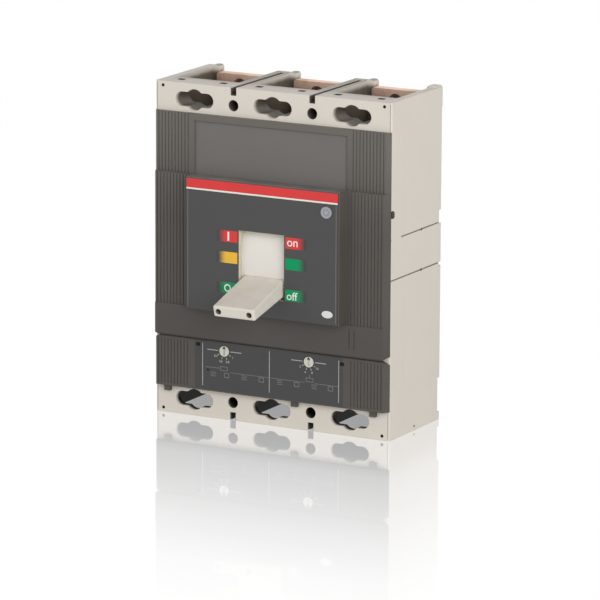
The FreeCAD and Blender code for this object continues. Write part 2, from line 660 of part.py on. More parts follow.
def trip_unit_cover():
    body = tapered_slab(CASE_HALF_W, TRIP_COVER_FACE, -COVER_HALF_H, TRIP_COVER_TOP)
    body = body.makeChamfer(EDGE_ROUND, edges_along(
        body, X_AXIS, lambda p: p.y < -TRIP_COVER_FACE + 0.1 and p.z > TRIP_COVER_TOP - 0.1))
    width, reach, thick = TAB_SIZE
    tabs = [box(x - width / 2, x + width / 2, -CASE_DEPTH - thick, -CASE_DEPTH,
                -COVER_HALF_H - reach, -COVER_HALF_H + 1) for x in TAB_X]
    body = join([body] + tabs)
    inner_w = CASE_HALF_W - SIDE_TAPER - COVER_SKIN
    cutters = [box(-inner_w, inner_w, -TRIP_COVER_FACE + COVER_SKIN, -CASE_DEPTH + 1,
                   -COVER_HALF_H + COVER_SKIN, TRIP_COVER_TOP - COVER_SKIN)]
    cutters += [rod_y(-TRIP_COVER_FACE - 1, -CASE_DEPTH + 1, x, DIAL_Z, DIAL_R + GAP)
                for x in (THERMAL_DIAL_X, MAGNETIC_DIAL_X)]
    cutters += rib_grooves(TRIP_COVER_FACE, -COVER_HALF_H + RIB_MARGIN, TRIP_COVER_TOP - RIB_MARGIN)
    cutters += seam_notches(TRIP_COVER_FACE, TRIP_COVER_TOP, -1)
    return cut(body, cutters)


def dial(x):
    """A round rotary switch with a screwdriver slot."""
    face = -TRIP_COVER_FACE - DIAL_PROUD
    body = rod_y(face, -CASE_DEPTH + TRAY_SKIN, x, DIAL_Z, DIAL_R)
    reach = DIAL_R - DIAL_RIM
    slot = box(x - DIAL_SLOT_W / 2, x + DIAL_SLOT_W / 2, face - 1, face + DIAL_SLOT_DEPTH,
               DIAL_Z - reach, DIAL_Z + reach)
    return cut(body, [slot])


def trip_unit_frame():
    """The moulded tray in the mid cover's window that carries the two dials."""
    half_w, (low, high) = TRAY_HALF_W, TRAY_Z
    y0, y1 = -CASE_DEPTH + GAP, -CASE_DEPTH + TRAY_DEPTH
    body = box(-half_w + FIT, half_w - FIT, y0, y1, low + FIT, high - FIT)
    hollow = box(-half_w + TRAY_SKIN, half_w - TRAY_SKIN, y0 + TRAY_SKIN, y1 + 1, low + TRAY_SKIN,
                 high - TRAY_SKIN)
    bores = [rod_y(y0 - 1, y1, x, DIAL_Z, DIAL_R + JOURNAL_FIT)
             for x in (THERMAL_DIAL_X, MAGNETIC_DIAL_X)]
    return cut(body, [hollow] + bores)


# ---- lever group ---------------------------------------------------------
def along_lever(radius, height):
    """A (y, z) point at a distance along the level lever and a height above its middle."""
    return (LEVER_AXIS[0] - radius, LEVER_AXIS[1] + height)


def lever():
    root, tip = LEVER_ROOT_T / 2, LEVER_TIP_T / 2
    outline = [along_lever(LEVER_ROOT_R, root), along_lever(SHIELD_R + LEVER_NECK, root),
               along_lever(LEVER_TIP_R, tip), along_lever(LEVER_TIP_R, -tip),
               along_lever(SHIELD_R + LEVER_NECK, -root), along_lever(LEVER_ROOT_R, -root)]
    body = side_profile(outline, -LEVER_HALF_W, LEVER_HALF_W)
    tip_y = LEVER_AXIS[0] - LEVER_TIP_R
    rims = [edge for edge in body.Edges if edge.CenterOfMass.y < LEVER_AXIS[0] - SHIELD_R - LEVER_NECK - FIT]
    body = body.makeFillet(LEVER_EDGE_R, rims)
    cutters = [box(-YOKE_TONGUE_HALF_W - FIT, YOKE_TONGUE_HALF_W + FIT,
                   LEVER_AXIS[0] - YOKE_TONGUE_R - FIT, LEVER_AXIS[0] - LEVER_ROOT_R + 1,
                   LEVER_AXIS[1] - YOKE_TONGUE_T / 2 - FIT, LEVER_AXIS[1] + YOKE_TONGUE_T / 2 + FIT)]
    for side in (-1, 1):
        cutters.append(rod_y(tip_y - 1, tip_y + LEVER_TIP_HOLE_DEPTH, side * LEVER_TIP_HOLE_X,
                             LEVER_AXIS[1], LEVER_TIP_HOLE_R))
    return to_off(cut(body, cutters))


def lever_shield():
    """A curved plate about the lever's axis that closes the opening at every position."""
    x0, x1 = -SHIELD_HALF_W, SHIELD_HALF_W
    tube = rod_x(x0, x1, LEVER_AXIS, SHIELD_R).cut(rod_x(x0 - 1, x1 + 1, LEVER_AXIS, SHIELD_R - SHIELD_T))
    low, high = SHIELD_LOW_ANGLE, SHIELD_HIGH_ANGLE
    far = along_lever(2 * SHIELD_R, 0)
    fan = [LEVER_AXIS] + [turned_point(far, LEVER_AXIS, -angle) for angle in (low, (low + high) / 2, high)]
    sector = tube.common(side_profile(fan, x0 - 1, x1 + 1))
    hole = to_off(box(-LEVER_HALF_W - FIT, LEVER_HALF_W + FIT, LEVER_AXIS[0] - SHIELD_R - 1,
                      LEVER_AXIS[0] - LEVER_ROOT_R, LEVER_AXIS[1] - LEVER_ROOT_T / 2 - FIT,
                      LEVER_AXIS[1] + LEVER_ROOT_T / 2 + FIT))
    return cut(sector, [hole])


def handle_yoke():
    """A steel fork: two arms on the side plates' pins, a web and a tongue in the lever."""
    near, far, narrow, wide = YOKE_WEB_R, YOKE_WEB_R + YOKE_WEB_T, YOKE_ARM_HALF, YOKE_WEB_HALF
    half = [(0, narrow), (near, wide), (far, wide)]
    outline = [along_lever(r, t) for r, t in half] + [along_lever(r, -t) for r, t in reversed(half)]
    arm = side_profile(outline, YOKE_X, YOKE_X + YOKE_T).fuse(
        rod_x(YOKE_X, YOKE_X + YOKE_T, LEVER_AXIS, narrow))
    web = box(-YOKE_X - FIT, YOKE_X + FIT, LEVER_AXIS[0] - far, LEVER_AXIS[0] - near,
              LEVER_AXIS[1] - narrow, LEVER_AXIS[1] + narrow)
    tongue = box(-YOKE_TONGUE_HALF_W, YOKE_TONGUE_HALF_W, LEVER_AXIS[0] - YOKE_TONGUE_R,
                 LEVER_AXIS[0] - near, LEVER_AXIS[1] - YOKE_TONGUE_T / 2, LEVER_AXIS[1] + YOKE_TONGUE_T / 2)
    body = join(mirrored(arm) + [web, tongue])
    return to_off(cut(body, [rod_x(-YOKE_X - YOKE_T - 1, YOKE_X + YOKE_T + 1, LEVER_AXIS,
                                   YOKE_PIN_R + JOURNAL_FIT)]))


# ---- mechanism -----------------------------------------------------------
def crank_pin_point():
    closed = (SHAFT_AXIS[0] + CRANK_OFFSET[0], SHAFT_AXIS[1] + CRANK_OFFSET[1])
    return turned_point(closed, SHAFT_AXIS, SHAFT_OPEN_ANGLE)


def knee_point():
    """Where the two equal links meet, on the lower side of the line between their far pins."""
    crank = crank_pin_point()
    dy, dz = crank[0] - CRADLE_PIN[0], crank[1] - CRADLE_PIN[1]
    span = math.hypot(dy, dz)
    sag = math.sqrt(LINK_LENGTH ** 2 - span ** 2 / 4)
    return (CRADLE_PIN[0] + dy / 2 + dz / span * sag, CRADLE_PIN[1] + dz / 2 - dy / span * sag)


def link(start, end, start_hole, end_hole, x):
    """A flat link between two pins, its corners cut off round the holes."""
    run = math.hypot(end[0] - start[0], end[1] - start[1])
    along = ((end[0] - start[0]) / run, (end[1] - start[1]) / run)
    a, b = start_hole + LINK_RIM, end_hole + LINK_RIM
    steps = [(-a, -a / 2), (-a, a / 2), (-a / 2, a), (a / 2, a),
             (run - b / 2, b), (run + b / 2, b), (run + b, b / 2),
             (run + b, -b / 2), (run + b / 2, -b), (run - b / 2, -b), (a / 2, -a), (-a / 2, -a)]
    outline = [(start[0] + along[0] * s - along[1] * t, start[1] + along[1] * s + along[0] * t)
               for s, t in steps]
    return cut(side_profile(outline, x, x + LINK_T), [rod_x(x - 1, x + LINK_T + 1, start, start_hole),
                                                      rod_x(x - 1, x + LINK_T + 1, end, end_hole)])


def upper_toggle_links():
    one = link(CRADLE_PIN, knee_point(), CRANK_PIN_R + JOURNAL_FIT, KNEE_PIN_R + KNEE_HOLE_CLEARANCE,
               UPPER_LINK_X)
    return Part.makeCompound(mirrored(one))


def lower_toggle_links():
    one = link(crank_pin_point(), knee_point(), CRANK_PIN_R + JOURNAL_FIT, KNEE_PIN_R, LOWER_LINK_X)
    return Part.makeCompound(mirrored(one))


def knee_pin():
    return rod_x(-KNEE_PIN_HALF, KNEE_PIN_HALF, knee_point(), KNEE_PIN_R)


def crank_pin():
    reach = LOWER_LINK_X + LINK_T + PIN_END
    return rod_x(-reach, reach, crank_pin_point(), CRANK_PIN_R)


def spring_anchor():
    return turned_point(along_lever(YOKE_WEB_R, 0), LEVER_AXIS, LEVER_OFF_ANGLE)


def main_springs():
    """Two tension springs from the knee pin to the yoke's web."""
    knee = vec(SPRING_X, *knee_point())
    anchor = vec(SPRING_X, *spring_anchor())
    along = (anchor - knee).normalize()
    one = coil(knee + along * (KNEE_PIN_R + SPRING_END_GAP), anchor - along * SPRING_END_GAP, SPRING_R,
               SPRING_WIRE, SPRING_TURNS, SPRING_LEAD)
    return Part.makeCompound(mirrored(one))


def fixed_pins():
    """The pins that the side plates hold: (y, z) place and radius."""
    return [(LEVER_AXIS, YOKE_PIN_R), (CRADLE_PIVOT, CRANK_PIN_R)]


def mechanism_plate(side):
    """One of the two steel plates that frame the mechanism, cleared round the contact shaft."""
    x0, x1 = SIDE_PLATE_X, SIDE_PLATE_X + SIDE_PLATE_T
    holes = [rod_x(x0 - 1, x1 + 1, SHAFT_AXIS, JOURNAL_R + GAP)]
    holes += [rod_x(x0 - 1, x1 + 1, point, radius) for point, radius in fixed_pins()]
    front = placed(SIDE_PLATE_FRONT, CRADLE_PIN)
    outline = [(-BACK_WALL, front[-1][1]), (-BACK_WALL, CRADLE_PIN[1] + SIDE_PLATE_TOP_BACK)] + front
    plate = cut(side_profile(outline, x0, x1), holes)
    return plate if side > 0 else mirrored(plate)[1]


def mechanism_pins():
    """The two lever pins, the cradle's long pivot and the pin of the upper links."""
    outer = SIDE_PLATE_X + SIDE_PLATE_T
    short = rod_x(SIDE_PLATE_X - PIN_END, YOKE_X + YOKE_T, LEVER_AXIS, YOKE_PIN_R)
    pivot = rod_x(-outer, outer, CRADLE_PIVOT, CRANK_PIN_R)
    reach = UPPER_LINK_X + LINK_T + PIN_END
    link_pin = rod_x(-reach, reach, CRADLE_PIN, CRANK_PIN_R)
    return Part.makeCompound(mirrored(short) + [pivot, link_pin])


def latch_cradle():
    """The latched plate that holds the top of the toggle, caught by the trip bar's hook."""
    half = CRADLE_HALF_W
    rear = knee_point()[0] - CRADLE_PIN[0] - KNEE_PIN_R - CRADLE_KNEE_GAP
    outline = CRADLE_HEAD + tuple((rear, z) for z in CRADLE_WAIST) + CRADLE_TOE
    return cut(side_profile(placed(outline, CRADLE_PIN), -half, half),
               [rod_x(-half - 1, half + 1, pin, CRANK_PIN_R) for pin in (CRADLE_PIVOT, CRADLE_PIN)])


def contact_shaft():
    """The moulded shaft across the three poles, with a rotor round each contact arm."""
    reach = POLE_PITCH + CHAMBER_HALF_W - 1
    flank = ARM_HALF_W + ROTOR_WALL
    body = [rod_x(-reach, reach, SHAFT_AXIS, JOURNAL_R)]
    y, z = SHAFT_AXIS
    a, b = ROTOR_HALF, ROTOR_FLAT
    corners = [(a, -b), (a, b), (b, a), (-b, a), (-a, b), (-a, -b), (-b, -a), (b, -a)]
    body += [side_profile(placed(corners, SHAFT_AXIS), x - flank, x + flank) for x in POLES.values()]
    pin = (y + CRANK_OFFSET[0], z + CRANK_OFFSET[1])
    inner = flank - HORN_T
    horn = side_profile([(y + 6, z), (pin[0] + HORN_R, pin[1]), (pin[0] - HORN_R, pin[1]), (y - 14, z)],
                        inner, flank)
    horn = horn.fuse(rod_x(inner, flank, pin, HORN_R))
    slots = [arm_blank(x, FIT) for x in POLES.values()]
    pin_hole = rod_x(-flank - 1, flank + 1, pin, CRANK_PIN_R)
    return to_open(cut(join(body + mirrored(horn)), slots + [pin_hole]))


def arm_blank(x, extra):
    """The copper blade in the closed pose, grown by a clearance where the rotor holds it."""
    y, z = SHAFT_AXIS
    back, front = -ARM_FRONT, -ARM_FRONT - ARM_T
    low, high, head = z + ARM_NECK[0], z + ARM_NECK[1], ARM_TIP - ARM_HEAD
    outline = [(y + 5, z - ARM_TAIL), (y - 5, z - ARM_TAIL), (y - 9, z), (y - 7, low), (y - 7, high),
               (front, head), (front + ARM_NOSE, ARM_TIP), (back, ARM_TIP), (back, head),
               (y + 3, (low + high) / 2), (y + 6, z)]
    half = ARM_HALF_W + extra
    blade = side_profile(outline, x - half, x + half)
    if extra:
        blade = blade.fuse(box(x - half, x + half, y - 9 - extra, y + 6 + extra, z - ROTOR_HALF - 1,
                               z + ROTOR_HALF + 1))
    return blade


def contact_arm(x):
    return to_open(arm_blank(x, 0))


def moving_contacts():
    y1 = CONTACT_T - ARM_FRONT
    pads = [box(x - CONTACT_HALF_W, x + CONTACT_HALF_W, y1 - CONTACT_T, y1, *CONTACT_Z)
            for x in POLES.values()]
    return to_open(Part.makeCompound(pads))


def fixed_contacts():
    y1 = -LOOP_FRONT
    pads = [box(x - CONTACT_HALF_W, x + CONTACT_HALF_W, y1 - CONTACT_T, y1, *CONTACT_Z)
            for x in POLES.values()]
    return Part.makeCompound(pads)


def line_terminal(x):
    """The terminal bar in the pocket, narrowed and bent back into the fixed contact's loop."""
    back, front = -BAR_BACK, -BAR_BACK - BAR_T
    bar = box(x - BAR_HALF_W, x + BAR_HALF_W, front, back, WIDE_END_TOP, BAR_END)
    bar = bar.makeChamfer(BAR_BEVEL, edges_along(bar, Y_AXIS, lambda p: p.z > BAR_END - 1))
    loop = side_profile([(back, WIDE_END_TOP + 1), (back, LOOP_BOTTOM), (-LOOP_FRONT, LOOP_BOTTOM),
                         (-LOOP_FRONT, LOOP_TOP), (-LOOP_FRONT + LOOP_T, LOOP_TOP),
                         (-LOOP_FRONT + LOOP_T, LOOP_BOTTOM + LOOP_T), (back - LOOP_T, LOOP_BOTTOM + LOOP_T),
                         (back - LOOP_T, WIDE_END_TOP + 1)], x - NARROW_HALF_W, x + NARROW_HALF_W)
    bends = edges_along(loop, X_AXIS, lambda p: p.z < LOOP_BOTTOM + 0.1)
    loop = loop.makeFillet(LOOP_BEND_R, bends)
    return cut(join([bar, loop]), [rod_y(front - 1, back + 1, x, ACCESS_Z, BAR_HOLE_R)])


def load_terminal(x):
    back, front = -BAR_BACK, -BAR_BACK - BAR_T
    bar = box(x - BAR_HALF_W, x + BAR_HALF_W, front, back, -BAR_END, WIDE_END_BOTTOM)
    bar = bar.makeChamfer(BAR_BEVEL, edges_along(bar, Y_AXIS, lambda p: p.z < 1 - BAR_END))
    return cut(bar, [rod_y(front - 1, back + 1, x, -ACCESS_Z, BAR_HOLE_R)])


def arc_chute_frame(x):
    """Two insulating side plates joined by a back strip behind the splitter plates."""
    half = CHAMBER_HALF_W - 2 * FIT
    y0, y1 = CHUTE_Y
    low, high = CHUTE_Z
    outline = [(y0, SPLITTER_Z[0] - 2), (y0, high), (y1, high), (y1, low), (y1 - 22, low),
               (y0 + 8, SPLITTER_Z[0] - 8)]
    sides = [side_profile(outline, x - half, x - half + CHUTE_FRAME_T),
             side_profile(outline, x + half - CHUTE_FRAME_T, x + half)]
    strip = box(x - half, x + half, y1 - CHUTE_FRAME_T, y1, SPLITTER_Z[0] + 4, high)
    return join(sides + [strip])


def arc_splitter_plates(x):
    """A row of steel plates, each with a notch over the path of the arm's tip."""
    half = CHAMBER_HALF_W - 2 * FIT - CHUTE_FRAME_T
    low, high = SPLITTER_Z
    notch_w, notch_h = SPLITTER_NOTCH
    outline = [(x - half, low), (x - notch_w, low), (x - notch_w / 2, low + notch_h),
               (x + notch_w / 2, low + notch_h), (x + notch_w, low), (x + half, low), (x + half, high),
               (x - half, high)]
    first, last = CHUTE_Y[1] - SPLITTER_END_GAP, CHUTE_Y[0] + SPLITTER_END_GAP
    plates = []
    for number in range(SPLITTER_COUNT):
        y = first + (last - first) * number / (SPLITTER_COUNT - 1)
        plates.append(front_profile(outline, y - SPLITTER_T / 2, y + SPLITTER_T / 2))
    return Part.makeCompound(plates)


# ---- trip unit -----------------------------------------------------------
def heater_strip(x):
    """A bent strip from the load terminal bar forward and up to the braid."""
    start = -BAR_BACK - BAR_T
    outline = [(start, HEATER_STEP_Z + HEATER_T), (-HEATER_FRONT + HEATER_T, HEATER_STEP_Z + HEATER_T),
               (-HEATER_FRONT + HEATER_T, HEATER_TOP), (-HEATER_FRONT, HEATER_TOP),
               (-HEATER_FRONT, HEATER_STEP_Z), (start - HEATER_T, HEATER_STEP_Z),
               (start - HEATER_T, HEATER_STEP_Z - HEATER_FOOT), (start, HEATER_STEP_Z - HEATER_FOOT)]
    strip = side_profile(outline, x - HEATER_HALF_W, x + HEATER_HALF_W)
    bends = edges_along(strip, X_AXIS, lambda p: p.z < HEATER_STEP_Z + 0.1 and p.y < -HEATER_FRONT + 0.1)
    return strip.makeFillet(HEATER_BEND_R, bends)


def bimetal(x):
    """The strip that bends forward when it is heated, with a setting block at its free end."""
    y1 = -HEATER_FRONT
    strip = box(x - BIMETAL_HALF_W, x + BIMETAL_HALF_W, y1 - BIMETAL_T, y1, HEATER_STEP_Z + 3, BIMETAL_TOP)
    half, proud, tall = SETTING_BLOCK
    block = box(x - half, x + half, y1 - BIMETAL_T - proud, y1, BIMETAL_TOP - 1 - tall, BIMETAL_TOP - 1)
    return join([strip, block])


def magnet_yoke(x):
    """A U-shaped core that wraps the heater strip from behind."""
    half, t = YOKE_MAGNET_HALF_W, YOKE_MAGNET_T
    y1 = -HEATER_FRONT + HEATER_T + t + FIT
    y0 = y1 - YOKE_MAGNET_DEPTH
    outline = [(x - half, y1), (x + half, y1), (x + half, y0), (x + half - t, y0), (x + half - t, y1 - t),
               (x - half + t, y1 - t), (x - half + t, y0), (x - half, y0)]
    return plan_profile(outline, *YOKE_MAGNET_Z)


def armature_y():
    return -HEATER_FRONT + HEATER_T + YOKE_MAGNET_T + FIT - YOKE_MAGNET_DEPTH - ARMATURE_GAP


def armature(x):
    """The steel flap in front of a magnet yoke, hinged at its lower edge."""
    y1 = armature_y()
    half = YOKE_MAGNET_HALF_W
    flap = box(x - half, x + half, y1 - ARMATURE_T, y1, ARMATURE_AXIS_Z, YOKE_MAGNET_Z[1] - 1)
    axis = (y1 - ARMATURE_T / 2, ARMATURE_AXIS_Z)
    k = KNUCKLE_HALF
    knuckle = box(x - half, x + half, axis[0] - k, axis[0] + k, axis[1] - k, axis[1] + k)
    pin_hole = rod_x(x - half - 1, x + half + 1, axis, ARMATURE_PIN_R + JOURNAL_FIT)
    return cut(join([flap, knuckle]), [pin_hole])


def armature_pins():
    reach = CHAMBER_HALF_W - 2 * FIT
    axis = (armature_y() - ARMATURE_T / 2, ARMATURE_AXIS_Z)
    return Part.makeCompound([rod_x(x - reach, x + reach, axis, ARMATURE_PIN_R) for x in POLES.values()])


def trip_bar():
    """The moulded shaft that unlatches the mechanism: a paddle per pole, an ear and a hook."""
    y, z = TRIP_BAR_AXIS
    reach = POLE_PITCH + CHAMBER_HALF_W - 1
    tip_y, tip_z = -HEATER_FRONT - BIMETAL_T - SETTING_BLOCK[1] - PADDLE_GAP, PADDLE_TIP_Z
    paddle = [(y - 2, z + 3), (tip_y - 3, tip_z + 1.5), (tip_y, tip_z + 1.5), (tip_y, tip_z - 1.5),
              (y + 3, z - 1)]
    pieces = [rod_x(-reach, reach, TRIP_BAR_AXIS, TRIP_BAR_R)]
    pieces += [side_profile(paddle, x - PADDLE_HALF_W, x + PADDLE_HALF_W) for x in POLES.values()]
    pieces.append(box(TEST_ROD_X - EAR_HALF_W, TEST_ROD_X + EAR_HALF_W, TEST_ROD_Y[0], y, z - EAR_T / 2,
                      z + EAR_T / 2))
    pieces.append(side_profile(placed(TRIP_HOOK, TRIP_BAR_AXIS), -CRADLE_HALF_W, CRADLE_HALF_W))
    return join(pieces)


def cam_cutter(side, shift):
    """Half space above (1) or below (-1) the sloping cam line, set off by a shift."""
    y, z = BUTTON_CAM
    off = side * shift / math.sqrt(2)
    a, b = (y - CAM_REACH - off, z - CAM_REACH + off), (y + CAM_REACH - off, z + CAM_REACH + off)
    far = (a[0], b[1]) if side > 0 else (b[0], a[1])
    return side_profile([a, b, far], TEST_ROD_X - CAM_HALF_W, TEST_ROD_X + CAM_HALF_W)


def button_collar_y():
    """The front of the collar, just behind the skin of the raised block."""
    return -BLOCK_FACE + BLOCK_SKIN + GAP


def trip_button():
    front = -BLOCK_FACE - PLATE_T - BUTTON_PROUD
    collar = button_collar_y()
    head = rod_y(front, collar, TEST_ROD_X, BUTTON_Z, BUTTON_R)
    flange = rod_y(collar, collar + BUTTON_COLLAR_T, TEST_ROD_X, BUTTON_Z, BUTTON_COLLAR_R)
    stem_end = BUTTON_STEM_BEHIND - CASE_DEPTH
    stem = rod_y(collar + BUTTON_COLLAR_T, stem_end, TEST_ROD_X, BUTTON_Z, BUTTON_STEM_R)
    return cut(join([head, flange, stem]), [cam_cutter(-1, 0)])


def button_spring():
    """The spring round the button's stem, between its collar and the mid cover."""
    start = button_collar_y() + BUTTON_COLLAR_T + BUTTON_SPRING_WIRE + FIT
    end = -CASE_DEPTH - BUTTON_SPRING_WIRE - FIT
    return coil(vec(TEST_ROD_X, start, BUTTON_Z), vec(TEST_ROD_X, end, BUTTON_Z), BUTTON_SPRING_R,
                BUTTON_SPRING_WIRE, BUTTON_SPRING_TURNS, 0)


def test_rod():
    """The upright slider that the button's cam pushes down onto the trip bar's ear."""
    low = TRIP_BAR_AXIS[1] + EAR_T / 2 + GAP
    body = box(TEST_ROD_X - TEST_ROD_HALF_W, TEST_ROD_X + TEST_ROD_HALF_W, *TEST_ROD_Y, low,
               BUTTON_Z + TEST_ROD_ABOVE)
    return cut(body, [cam_cutter(1, -GAP)])


def flexible_braid(x):
    """A short loop of braid from the tail of the arm to the top of the heater strip."""
    y, z = SHAFT_AXIS[0], SHAFT_AXIS[1] - ARM_TAIL - GAP
    rear, front = (turned_point((y + side * BRAID_T / 2, z), SHAFT_AXIS, SHAFT_OPEN_ANGLE)
                   for side in (1, -1))
    end_y = -HEATER_FRONT + HEATER_T + FIT
    high = HEATER_TOP - 2
    low = high - BRAID_T / 2
    outline = [rear, front, (front[0], high), (end_y, high), (end_y, low), (rear[0], low)]
    return side_profile(outline, x - BRAID_HALF_W, x + BRAID_HALF_W)


# ---- export --------------------------------------------------------------
def write(name, shape):
    shape.exportStep("parts/" + name + ".step")


def main():
    os.makedirs("parts", exist_ok=True)
    single = [rear_base, mid_cover, front_cover, trip_unit_cover, trip_unit_frame, face_plate, lever_bezel,
              lever, lever_shield, handle_yoke, contact_shaft, crank_pin, upper_toggle_links,
              lower_toggle_links, knee_pin, main_springs, mechanism_pins, latch_cradle, moving_contacts,
              fixed_contacts, armature_pins, trip_bar, trip_button, button_spring, test_rod]
    for maker in single:
        write(maker.__name__, maker())
    for maker in (line_terminal, load_terminal, contact_arm, arc_chute_frame, arc_splitter_plates,
                  heater_strip, bimetal, magnet_yoke, armature, flexible_braid):
        for pole, x in POLES.items():
            write(maker.__name__ + "_" + pole, maker(x))
    write("mechanism_plate_left", mechanism_plate(-1))
    write("mechanism_plate_right", mechanism_plate(1))
    write("thermal_dial", dial(THERMAL_DIAL_X))
    write("magnetic_dial", dial(MAGNETIC_DIAL_X))


main()
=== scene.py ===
import math

import bmesh
import bpy
import numpy as np
from bpy.props import FloatProperty, FloatVectorProperty, PointerProperty
from bpy.types import Operator, Panel, PropertyGroup
from mathutils import Matrix, Vector


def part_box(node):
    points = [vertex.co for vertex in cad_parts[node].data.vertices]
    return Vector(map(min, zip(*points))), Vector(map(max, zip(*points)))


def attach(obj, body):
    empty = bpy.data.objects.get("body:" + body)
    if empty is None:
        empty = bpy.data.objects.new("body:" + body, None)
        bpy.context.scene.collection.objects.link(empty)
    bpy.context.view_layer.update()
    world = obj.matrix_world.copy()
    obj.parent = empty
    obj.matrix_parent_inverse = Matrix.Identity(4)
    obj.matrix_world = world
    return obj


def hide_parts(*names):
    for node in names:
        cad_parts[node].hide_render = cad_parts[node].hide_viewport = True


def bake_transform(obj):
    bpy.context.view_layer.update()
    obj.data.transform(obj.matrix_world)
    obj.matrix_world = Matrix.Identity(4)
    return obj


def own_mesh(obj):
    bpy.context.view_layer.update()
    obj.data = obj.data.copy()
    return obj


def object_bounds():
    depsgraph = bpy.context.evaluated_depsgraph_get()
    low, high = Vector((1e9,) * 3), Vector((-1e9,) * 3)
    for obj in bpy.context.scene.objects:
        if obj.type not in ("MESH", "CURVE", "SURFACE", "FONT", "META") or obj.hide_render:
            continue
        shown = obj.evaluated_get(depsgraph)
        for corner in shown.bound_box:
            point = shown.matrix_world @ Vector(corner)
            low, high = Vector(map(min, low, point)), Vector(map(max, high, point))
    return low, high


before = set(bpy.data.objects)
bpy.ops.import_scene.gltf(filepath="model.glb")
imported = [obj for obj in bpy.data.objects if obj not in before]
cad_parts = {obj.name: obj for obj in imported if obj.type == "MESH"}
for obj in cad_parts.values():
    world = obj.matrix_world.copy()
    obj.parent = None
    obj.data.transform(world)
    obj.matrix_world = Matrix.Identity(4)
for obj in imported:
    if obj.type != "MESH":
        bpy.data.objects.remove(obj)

bl_info = {
    "name": "Molded Case Breaker",
    "version": (1, 0, 0),
    "blender": (4, 5, 0),
    "location": "3D View > Sidebar > Breaker",
    "description": "Finishes, printed marks and studio for a three pole molded case breaker",
    "category": "Object",
}

MM = 0.001
CAD_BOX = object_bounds()
POLES = {"left": -70 * MM, "centre": 0.0, "right": 70 * MM}
SIDES = {"left": -1, "right": 1}
CASE_DEPTH = 86 * MM
WHITE = (1.0, 1.0, 1.0, 1.0)
# heights of the two grooves that cross each side
UPPER_GROOVE, LOWER_GROOVE = 26.0 * MM, -6.4 * MM


def mm(*values):
    """Lengths given in millimetres, as metres."""
    return tuple(value * MM for value in values)


def linear(red, green, blue):
    """A screen colour of 0 to 255 as scene values: ((c + 0.055) / 1.055) to the power 2.4."""
    share = np.array((red, green, blue)) / 255
    return tuple(np.where(share <= 0.04045, share / 12.92, ((share + 0.055) / 1.055) ** 2.4).tolist())


def colour_setting(name, description, red, green, blue):
    return FloatVectorProperty(name=name, description=description, subtype="COLOR", size=3, min=0, max=1,
                               default=linear(red, green, blue))


def length_setting(name, description, millimetres):
    return FloatProperty(name=name, description=description, default=millimetres * MM, min=0,
                         subtype="DISTANCE", unit="LENGTH", precision=5)


# ---- settings -------------------------------------------------------------
class BreakerColours(PropertyGroup):
    case: colour_setting("Housing", "Light moulded polyester of the base and middle cover", 221, 214, 204)
    cover: colour_setting("Cover", "Dark grey moulded front cover", 81, 77, 73)
    # painted light: the colour of the cover's upper end, lit paler
    faded_print_and_painted_light: colour_setting("Painted light cover", "The cover's upper end, paler with painted light", 102, 98, 94)
    panel: colour_setting("Panel", "Smoother lighter field in the cover's upper recess", 109, 106, 103)
    film: colour_setting("Film", "Cool dark film of the face plate and the trip label", 71, 71, 72)
    lever: colour_setting("Lever", "Cream plastic of the lever", 228, 221, 211)
    shield: colour_setting("Shield", "Curved cream shield behind the lever", 230, 226, 220)
    red: colour_setting("Red ink", "Band and on mark", 220, 66, 65)
    green: colour_setting("Green ink", "Off and reset marks", 0, 151, 96)
    yellow: colour_setting("Yellow ink", "Tripped mark", 241, 189, 66)
    white: colour_setting("White ink", "Letters, lines and scales", 236, 236, 232)
    button: colour_setting("Button", "Blue grey trip button", 144, 147, 152)
    copper: colour_setting("Copper", "Terminals, arms and braids", 232, 200, 182)
    steel: colour_setting("Steel", "Zinc plated steel of the mechanism", 168, 170, 172)
    rotor: colour_setting("Shaft plastic", "Brown thermoset of the contact shaft and trip bar", 96, 58, 40)
    board: colour_setting("Arc board", "Pale grey fibre board of the arc chutes", 176, 170, 156)


class BreakerSizes(PropertyGroup):
    ink: length_setting("Ink", "How far printed marks stand proud", 0.05)
    line: length_setting("Line", "Width of a fine printed line", 0.55)
    mark_inner: length_setting("Mark start", "Printed marks start this far from the middle", 21.5)
    mark_outer: length_setting("Mark end", "Printed marks have faded out this far from the middle", 40.0)
    mark_height: length_setting("Mark height", "Height of a coloured mark beside the lever", 9.0)
    letter: length_setting("Letter", "Letter size of the marks beside the lever", 9.0)
    numeral: length_setting("Numeral", "Size of the numbers round the dials", 2.6)
    hole: length_setting("Pin hole", "Radius of the small holes in the case's corners", 1.3)


class BreakerStudio(PropertyGroup):
    key_power: FloatProperty(name="Key", description="Power of the broad front lamp in watts", default=38,
                             min=0)
    fill_power: FloatProperty(name="Fill", description="Power of the left lamp in watts", default=12, min=0)
    ambient: FloatProperty(name="Ambient", description="Soft light from all round", default=0.42, min=0)
    azimuth: FloatProperty(name="Azimuth", description="Camera's turn to the right of the front",
                           default=math.radians(28.40), subtype="ANGLE", unit="ROTATION")
    elevation: FloatProperty(name="Elevation", description="Camera's tilt down",
                             default=math.radians(12.40), subtype="ANGLE", unit="ROTATION")
    roll: FloatProperty(name="Roll", description="Camera's turn about its own line of sight",
                        default=math.radians(0.25), subtype="ANGLE", unit="ROTATION")
    eye: FloatVectorProperty(name="Eye", description="Where the camera stands", size=3, subtype="TRANSLATION",
                             unit="LENGTH", default=(1.87353, -3.5046, 0.82479))
    lens: FloatProperty(name="Lens", description="Focal length in millimetres", default=304.6, min=1)


